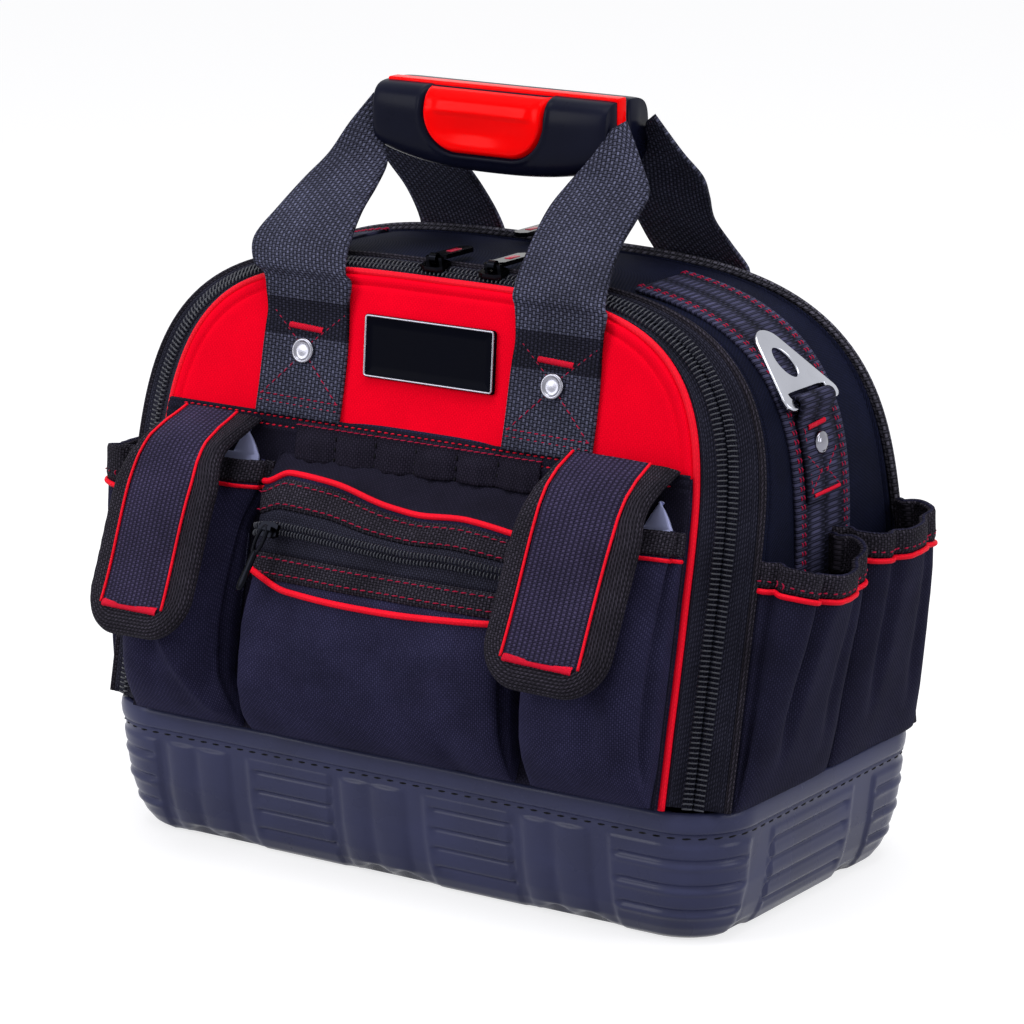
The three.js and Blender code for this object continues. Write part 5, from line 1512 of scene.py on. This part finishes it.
def flap_body(name, side):
    a = circle(40)
    rings = []
    for s in np.concatenate([[0.6, 1.6, 3], np.linspace(5, 112, 46), [114, 115.5, 116.6, 117.4, 117.8]]):
        end = (0.45 + 0.55 * ease((118.6 - s) / 5)) * (0.5 + 0.5 * ease(s / 10))
        below = np.clip(s - (FLAP_LENGTH - FLAP_CORNER), 0, FLAP_CORNER)
        half = flap_shoulder(s) - FLAP_CORNER + np.sqrt(FLAP_CORNER ** 2 - below ** 2) - 1.2
        thick = (FLAP_THICK / 2 - 0.4) * end * rounded(np.sin(a), 0.6)
        rings.append(on_flap(half * rounded(np.cos(a), 0.45), s, flap_face(s) - FLAP_THICK / 2 + thick, side))
    return closed_piece(name, rings)


def flap_binding(name, side):
    outline = flap_outline()
    t = tangents(outline)
    rows = []
    for k, (point, n) in enumerate(zip(outline, table(t[:, 1], -t[:, 0]))):
        narrow = 1.0
        if point[1] < FLAP_LENGTH - FLAP_CORNER:
            narrow = np.clip((abs(point[0]) - STRIP_HALF + 0.8) / 13.0, 0.25, 1.0)
        row = []
        for inset, lift in BINDING_SECTION:
            x, s = point + n * inset * (narrow if inset > 2 else 1.0)
            pucker = 0.12 * math.sin(k * 1.7) if lift > 0 else 0.0
            row.append(on_flap(x, s, flap_face(max(s, 0)) + lift + pucker, side))
        rows.append(row)
    return outward(sheet_piece(name, np.array(rows), thickness=0.9))


print("a flap's outline has", len(flap_outline()), "points")

# %% [markdown]
# The inflating step is the usual one for foam under cloth: the piece is wrapped in an even net, blown
# up gently without gravity for twenty frames, and held to a small swell so that it keeps its size.

# %% Blowing up foam under cloth
NET, SWELL, PRESSURE, FRAMES = 3.0, 1.3, 4.0, 20


def vertex_places(mesh):
    return np.array([v.co for v in mesh.vertices])


def puff(piece):
    net = piece.modifiers.new("even net", "REMESH")
    net.mode, net.voxel_size = "VOXEL", NET * MM
    settle(piece)
    start = vertex_places(piece.data)
    cloth = piece.modifiers.new("foam under cloth", "CLOTH")
    cloth.settings.use_pressure = True
    cloth.settings.uniform_pressure_force = PRESSURE
    cloth.settings.effector_weights.gravity = 0.0
    for frame_number in range(1, FRAMES + 1):
        scene.frame_set(frame_number)
    graph = bpy.context.evaluated_depsgraph_get()
    move = vertex_places(piece.evaluated_get(graph).data) - start
    piece.modifiers.remove(cloth)
    scene.frame_set(1)
    move -= move.mean(axis=0)
    length = np.linalg.norm(move, axis=1, keepdims=True)
    move *= np.minimum(SWELL * MM / np.maximum(length, 1e-9), 1)
    piece.data.vertices.foreach_set("co", (start + move).astype(np.float32).ravel())
    piece.data.update()
    soft = piece.modifiers.new("soften", "SUBSURF")
    soft.levels = soft.render_levels = 1
    smooth(piece.data)
    return settle(piece)


print("the foam may swell by", SWELL, "mm")

# %% [markdown]
# Each flap is then put together from the inside out, as it is sewn: foam body, webbing, binding, the
# two red lines and the bar-tack. All but the bar-tack are handed the same two bodies and the same
# place to bend, which are not used, so they stay where they are drawn.

# %% Flaps
for label, side in SIDES:
    body = f"{label}_flap_body"
    neck = ("front_door", body, *(on_flap(*place, side) for place in NECK_BEND))
    foam = puff(flap_body(f"{label} flap foam body", side))
    lay_pattern(foam.data, vertex_places(foam.data)[:, [0, 2]] / MM)
    finish(foam, black_cloth, neck, "black_cloth", f"{label}_flap")
    s, share = np.linspace(0.5, FLAP_FOOT, 70), np.linspace(-1, 1, 25)
    crown = 1.3 * (1 - share ** 2) + 0.25 * ripple(share[None] * 22, s[:, None], 61 + side, size=50)
    rise = flap_face(s)[:, None] + 1.5 + crown - 0.8 * ease((np.abs(share) - 0.9) / 0.1)
    middle = on_flap(share[None] * STRIP_HALF, s[:, None], rise, side)
    strip = sheet_piece(f"{label} flap webbing", middle, door_out())
    finish(strip, flap_cloth, neck, "webbing")
    finish(flap_binding(f"{label} flap binding", side), binding, neck, "black_cloth")
    paths = [on_flap(edge * (STRIP_HALF + 0.3 * np.sin(s / 17)), s, flap_face(s) + 1.9, side)
             for edge in (-1, 1)]
    lines = merge(f"{label} flap red lines",
                  [tube_piece("line", path, 0.72, 8, door_out()) for path in paths])
    finish(lines, piping_red, neck, "red_cloth")
    out = on_flap(0, 60, 1, side) - on_flap(0, 60, 0, side)
    foot = [on_flap(x, s, flap_face(105) + 2.0, side)
            for x, s in ((1.5 - STRIP_HALF, FLAP_FOOT), (STRIP_HALF - 3, FLAP_FOOT + 0.8))]
    finish(bar_tack(f"{label} flap bar tack", *foot, out, 3.6), thread_red, body, "red_cloth")
print("flaps made")

# %% [markdown]
# The sides. A wide band of ribbed webbing runs over each shoulder of the gusset, with red thread along
# both edges. On it sits a shorter webbing loop that holds the bright triangular ring for a shoulder
# strap; the loop is closed by a bar-tack, a rivet and a cross of stitches.

# %% Shoulder bands and ring straps
WEB_HALF, WEB_SHIFT, RING_SHIFT, RING_STRAP_HALF = 25.0, -7.0, -9.0, 15.4
WEB_STITCHES = (-21.0, -18.5, 18.5, 21.0)
RING_X, RING_Z, LOOP_RADIUS = 177.753, 251.0, 4.2
RING_LEAN, RING_SLANT, RING_THICK = math.radians(41.0), math.radians(8.0), 3.0
RING_CROSS = (((-12, 226), (-3, 218)), ((12, 226), (3, 218)), ((-3, 218), (-12, 210)), ((3, 218), (12, 210)),
              ((-12, 238), (-12, 210)))
gusset_line = on_door(at_plane(arch(GUSSET), GUSSET_PLANE))[:, [0, 2]]


def outside(line):
    """The way out of the cloth along a line over the right shoulder, seen from the front."""
    t = tangents(line)
    return table(t[:, 1], -t[:, 0])


def shoulder(z_low, x_top, lift, step=2.0):
    """The right half of the gusset's line from height z_low up to x_top, `lift` above the cloth."""
    right = gusset_line[gusset_line[:, 0] > 0][::-1]
    line = even_path(right + outside(right) * lift, step)
    return line[(line[:, 1] >= z_low) & (line[:, 0] >= x_top)]


for label, side in SIDES:
    left = side < 0
    line = shoulder(162, 93, 2.9)
    normal = outside(line)
    y = np.linspace(-WEB_HALF, WEB_HALF, 21)
    lift = (0.3 * ripple(np.arange(len(line))[:, None] * 2.0, y[None], 71, size=60)
            - 0.5 * ease((np.abs(y) - 23) / 2))
    (x, z), (nx, nz) = line.T[..., None], normal.T[..., None]
    grid = table(x + nx * lift, y + WEB_SHIFT, z + nz * lift)
    right_side = half_turn((1.0, 0.0, 0.5), left)
    web = sheet_piece(f"{label} side webbing", half_turn(grid, left), right_side, 1.8)
    finish(web, ribbed_web, "bag", "webbing", f"{label}_side_web")
    out = half_turn(table(normal[:, 0], 0, normal[:, 1]), left)
    threads = []
    for edge in WEB_STITCHES:
        x, z = (line + normal * 0.25).T
        path = half_turn(table(x, edge + WEB_SHIFT, z), left)
        threads.append(lay_along("row", path, out, stitch, 4.4, thread_dim))
    finish(merge(f"{label} side webbing stitches", threads), thread_dim, "bag", "red_cloth")

    low = shoulder(204, 170, 5.0, 1.5)
    low = low[low[:, 1] < 243]
    a = np.radians(np.linspace(-20, 200, 18))
    loop = table(RING_X + LOOP_RADIUS * np.cos(a), RING_Z + LOOP_RADIUS * np.sin(a))
    tuck = [(RING_X - 3.0, 246.0), (RING_X - 1.6, 241.0)]
    path = smooth_path(np.vstack([low[::6], low[-1:], loop[::3], loop[-1:], tuck]), 90)
    y = np.linspace(-RING_STRAP_HALF, RING_STRAP_HALF, 13) + RING_SHIFT
    grid = half_turn(table(path[:, 0:1], y, path[:, 1:2]), left)
    band = sheet_piece(f"{label} ring strap webbing", grid, right_side)
    finish(band, ribbed_web, "bag", "webbing", f"{label}_ring_strap")
    out = half_turn((1.0, 0, 0.05), left)

    def on_strap(y, z, lift=0.3, low=low, left=left):
        return half_turn((np.interp(z, low[:, 1], low[:, 0]) + lift, y + RING_SHIFT, z), left)

    dome = [(0.86 * r, 0.9 * h) for r, h in RIVET_DOME]
    cap = turned_cap(f"{label} ring strap rivet", dome, on_strap(0, 231), out)
    finish(cap, nickel, "bag", "chrome", f"{label}_ring_rivet")
    cross = [(on_strap(*p), on_strap(*q)) for p, q in RING_CROSS]
    stitch_rows(f"{label} ring strap stitches", cross, out, "bag")
    tacks = [bar_tack("tack", on_strap(-9, 239.5, 0.6), on_strap(7, 240.5, 0.6), out, 2.2),
             bar_tack("tack", on_strap(-11, 207.6, 0.5), on_strap(12.5, 208.4, 0.5), out, 1.5)]
    finish(merge(f"{label} ring strap tacks", tacks), thread_red, "bag", "red_cloth")
print("shoulder bands and ring straps made")

# %% [markdown]
# The ring is stamped from thick steel and plated: a rounded triangle with an oval hole for the hook and
# a slot behind the bar that the webbing goes round. It leans back against the shoulder and slants a
# little, while its bar and slot stay level with the line that it turns about.

# %% Triangular rings
RING_CORNERS = ((-18.8, 2.1, 4.0), (18.8, 2.1, 4.0), (0.0, 30.0, 9.6))      # across, up, radius
RING_EDGE = 0.9


def oval(u, w, half, high, power_u=1.0, power_w=1.0):
    a = circle(40)
    return table(u + half * rounded(np.cos(a), power_u), w + high * rounded(np.sin(a), power_w))


def ring_outline():
    """The points of three circles that a thread pulled tight round them would touch."""
    a = circle(60)
    dots = np.vstack([table(u + r * np.cos(a), w + r * np.sin(a)) for u, w, r in RING_CORNERS])
    angle = circle(120)
    dots = dots[np.unique(np.argmax(dots @ table(np.cos(angle), np.sin(angle)).T, axis=0))]
    spoke = dots - dots.mean(axis=0)
    return dots[np.argsort(np.arctan2(spoke[:, 1], spoke[:, 0]))]


def ring_plate(name, side):
    flat = bpy.data.curves.new(name, "CURVE")
    flat.dimensions, flat.fill_mode = "2D", "BOTH"
    flat.extrude, flat.bevel_depth = (RING_THICK / 2 - RING_EDGE) * MM, RING_EDGE * MM
    flat.bevel_resolution = 4
    for outline in (ring_outline(), oval(0, 21.5, 6.8, 9.4), oval(0, 4.6, 17.4, 2.4, 0.25, 0.4)):
        spline = flat.splines.new("POLY")
        spline.points.add(len(outline) - 1)
        for dot, (u, w) in zip(spline.points, outline):
            dot.co = (u * MM, w * MM, 0, 1)
        spline.use_cyclic_u = True
    carrier = new_object(name + " outline", flat)
    mesh = baked(carrier)
    bpy.data.objects.remove(carrier)
    u, w, t = vertex_places(mesh).T / MM
    points = table(RING_X - w * math.sin(RING_LEAN) + t * math.cos(RING_LEAN),
                   RING_SHIFT + u - w * math.sin(RING_SLANT),
                   RING_Z + w * math.cos(RING_LEAN) + t * math.sin(RING_LEAN))
    mesh.vertices.foreach_set("co", (half_turn(points, side < 0) * MM).astype(np.float32).ravel())
    for polygon in mesh.polygons:
        polygon.use_smooth = abs(polygon.normal.z) < 0.99
    return outward(new_object(name, mesh))


for label, side in SIDES:
    ring = ring_plate(f"{label} triangular ring", side)
    finish(ring, bright_nickel, f"{label}_ring_body", "chrome", f"{label}_ring")
print("one ring:", len(ring.data.polygons), "faces")

# %% [markdown]
# Each side carries two open pockets from the door's zip to the middle. Like the front ones they are
# lofted skins with a bound mouth and red piping, but they stand upright and gape more.

# %% Side pockets
SIDE_FACE, SIDE_TOPS = 182.4, {False: 188.0, True: 194.0}
SIDE_LEVELS = ((68.4, 4), (71, 5.5), (75, 7), (80, 8.5), (92, 12), (105, 15), (125, 19.5), (145, 23.5),
               (165, 26.5), (189, 29), (195, 29.3))


def gusset_edge(z):
    return 89.9 - 0.2126 * (z - 66) + 0.2


def side_pocket(rear, levels, top):
    rows = []
    for z in levels:
        outer = gusset_edge(z) - 3.0 * (1 - ease((z - 70) / 100))
        half, centre = (outer - 0.8) / 2, (outer + 0.8) / 2 * (1 if rear else -1)
        x, d, nx, nd, run, depth = skin_row(SIDE_LEVELS, z, half, 4.2, 96)
        front = ease((d / depth - 0.5) / 0.5)
        folds = ((-4.0 if rear else -8.0) * bump(x, -0.42 * half, 4.4) * ease((z - 80) / 50)
                 - 3.0 * bump(x, 0.55 * half, 5.0) * ease((z - 76) / 40)
                 + 1.2 * ripple(x, z, 81 + int(rear), size=70))
        push = (folds * front - 4.0 * bump(np.abs(run), 0.8, 0.06) * ease((z - 72) / 20)
                + 2.2 * bump(x, 0.0, 0.4 * half) * ease((z - 150) / 40))
        if rear:
            rise = -8.2 - 2.8 * run - 1.5 * np.clip(run, 0, 1) ** 2 + 0.6 * np.sin(x / 9.0)
        else:
            rise = -7.0 * np.cos(x / half * 1.3) - 4.5 - 3.6 * run + 0.4 * np.sin(x / 9.0)
        rise = rise * ease((z - 130) / 55) + 8.0 * ease((run - 0.1) / 0.7) * ease((z - top + 13) / 12)
        rows.append(table(SIDE_FACE + d + nd * push, centre + x + nx * push, z + rise))
    return np.array(rows)


def side_band(grid, levels, z_low, z_high, push, rows, span):
    lines = []
    for k, z in enumerate(np.linspace(z_low, z_high, rows)):
        edge = 0.5 if rows > 1 and k in (0, rows - 1) else 0
        pucker = 0.12 * np.sin(0.9 * np.arange(grid.shape[1]) + k)[:, None]
        lines.append(across_skin(grid, levels, z, push - edge + pucker, span, SIDE_OUT)[0])
    return np.array(lines)


for label, side in SIDES:
    left = side < 0
    for end, rear in ENDS:
        shape_rear = rear != left
        top = SIDE_TOPS[shape_rear]
        name = f"{label} {end} side pocket"
        levels = np.concatenate([[68.4, 70, 72, 75], np.linspace(79, top, 56)])
        grid = side_pocket(shape_rear, levels, top)
        skin = sheet_piece(name, half_turn(grid, left), (side, 0, 0))
        finish(skin, shaded_pocket_cloth, "bag", "black_cloth", f"{label}_{end}_side_pocket")
        band = half_turn(side_band(grid, levels, top - 12.0, top, 1.0, 8, (0.02, 0.98)), left)
        finish(sheet_piece(f"{name} binding", band, (side, 0, 0), 3.4), binding, "bag", "black_cloth")
        line = even_path(side_band(grid, levels, top - 13.8, top - 13.8, 0.8, 1, (0.03, 0.97))[0], 1.6)
        finish(tube_piece(f"{name} piping", half_turn(line, left), 1.35, 10), piping_red, "bag", "red_cloth")
        line = side_band(grid, levels, top - 9.0, top - 9.0, 1.2, 1, (0.04, 0.96))[0]
        out = half_turn((1.0, 0, 0.1), left)
        row = stitch_row(f"{name} stitches", half_turn(line, left), out, mould=stitch, spacing=4.8)
        finish(row, thread_dim, "bag", "red_cloth")
print("side pockets made")

# %% [markdown]
# The zip sliders and the pulls of the long zips are dark plated castings; those pieces of the frame
# keep their shape and get the metal, and each of these pulls has a red enamel inlay. The pull of the
# pocket's zip is a wire eye with a small blade hanging from it. Inside the bag a grey board stiffens
# the floor and another stands across the middle as a divider.

# %% Sliders, pulls and the inside
INLAY_HALF, INLAY_LOW, INLAY_HIGH = 1.7, 306.7, 307.2
PULL_FROM, PULL_TO, INLAY_MARGIN = 25.5, 43.5, 4.5      # along the top pulls, from the bag's middle
PULL_PIVOT, PULL_HANG = (-60.0, -122.6, 178.9), (-0.2, -0.40, -0.89)
# down the blade: distance from the pivot, half width, half thickness
BLADE = ((11.6, 1.0, 0.7), (12.6, 1.6, 1.0), (15, 1.9, 1.1), (22, 1.8, 1.1), (28, 2.3, 1.1), (31.5, 1.9, 1.0),
         (32.6, 0.8, 0.6))


def paint(node, material):
    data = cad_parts[node].data
    data.materials.clear()
    data.materials.append(material)


for end, rear in ENDS:
    for label, side in SIDES:
        for part in ("slider", "pull"):
            paint(f"{end}_{label}_{part}", dark_metal)
        lowest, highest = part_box(f"{end}_{label}_pull")
        x = (lowest[0] + highest[0]) / 2 / MM
        y_low, y_high = sorted(reach * (1 if rear else -1) for reach in (PULL_FROM, PULL_TO))
        inlay = rounded_slab(f"{end} {label} pull inlay", (x - INLAY_HALF, y_low + INLAY_MARGIN, INLAY_LOW),
                             (x + INLAY_HALF, y_high - INLAY_MARGIN, INLAY_HIGH), 0.25, 2)
        finish(inlay, pull_red, f"{end}_{label}_pull_body", "slider_metal")
for node, material in (("pocket_slider", dark_metal), ("base_board", board), ("centre_divider", board)):
    paint(node, material)

across, hang = np.array([1, 0, 0]), unit(PULL_HANG)
lay = unit(np.cross(hang, across))
a = circle(32)
eye = PULL_PIVOT + np.outer(6.4 - 7.4 * np.cos(a), hang) + np.outer(2.3 * np.sin(a), across)
link = tube_loop("pull link", eye, 0.85, 10, lay, lap=3)
a = circle(16)
blade = [PULL_PIVOT + hang * s + np.outer(half * rounded(np.cos(a), 0.6), across)
         + np.outer(thick * np.sin(a), lay) for s, half, thick in BLADE]
pull = merge("pocket zip pull", [link, closed_piece("pull blade", blade)])
finish(pull, dark_metal, "pocket_pull_body", "slider_metal", "pocket_pull")
print("pocket's pull:", len(pull.data.polygons), "faces")

# %% [markdown]
# The rim of the tub is stitched to the cloth all the way round with a heavy black thread.

# %% Rim stitches
rim, rim_out = (np.vstack([rows, rows[:1]]) for rows in tub_ring(0.8, (60, 30), 16, 55.6))
stitches = lay_along("rim stitches", rim, rim_out, long_stitch, 7.6, thread_black)
finish(stitches, thread_black, "bag", "tub_rubber")
print("rim stitched")

# %% [markdown]
# The moulds were only there to be copied, so they leave the scene.

# %% Put the moulds away
for mould in moulds:
    bpy.data.objects.remove(mould)
print(len(moulds), "moulds put away")
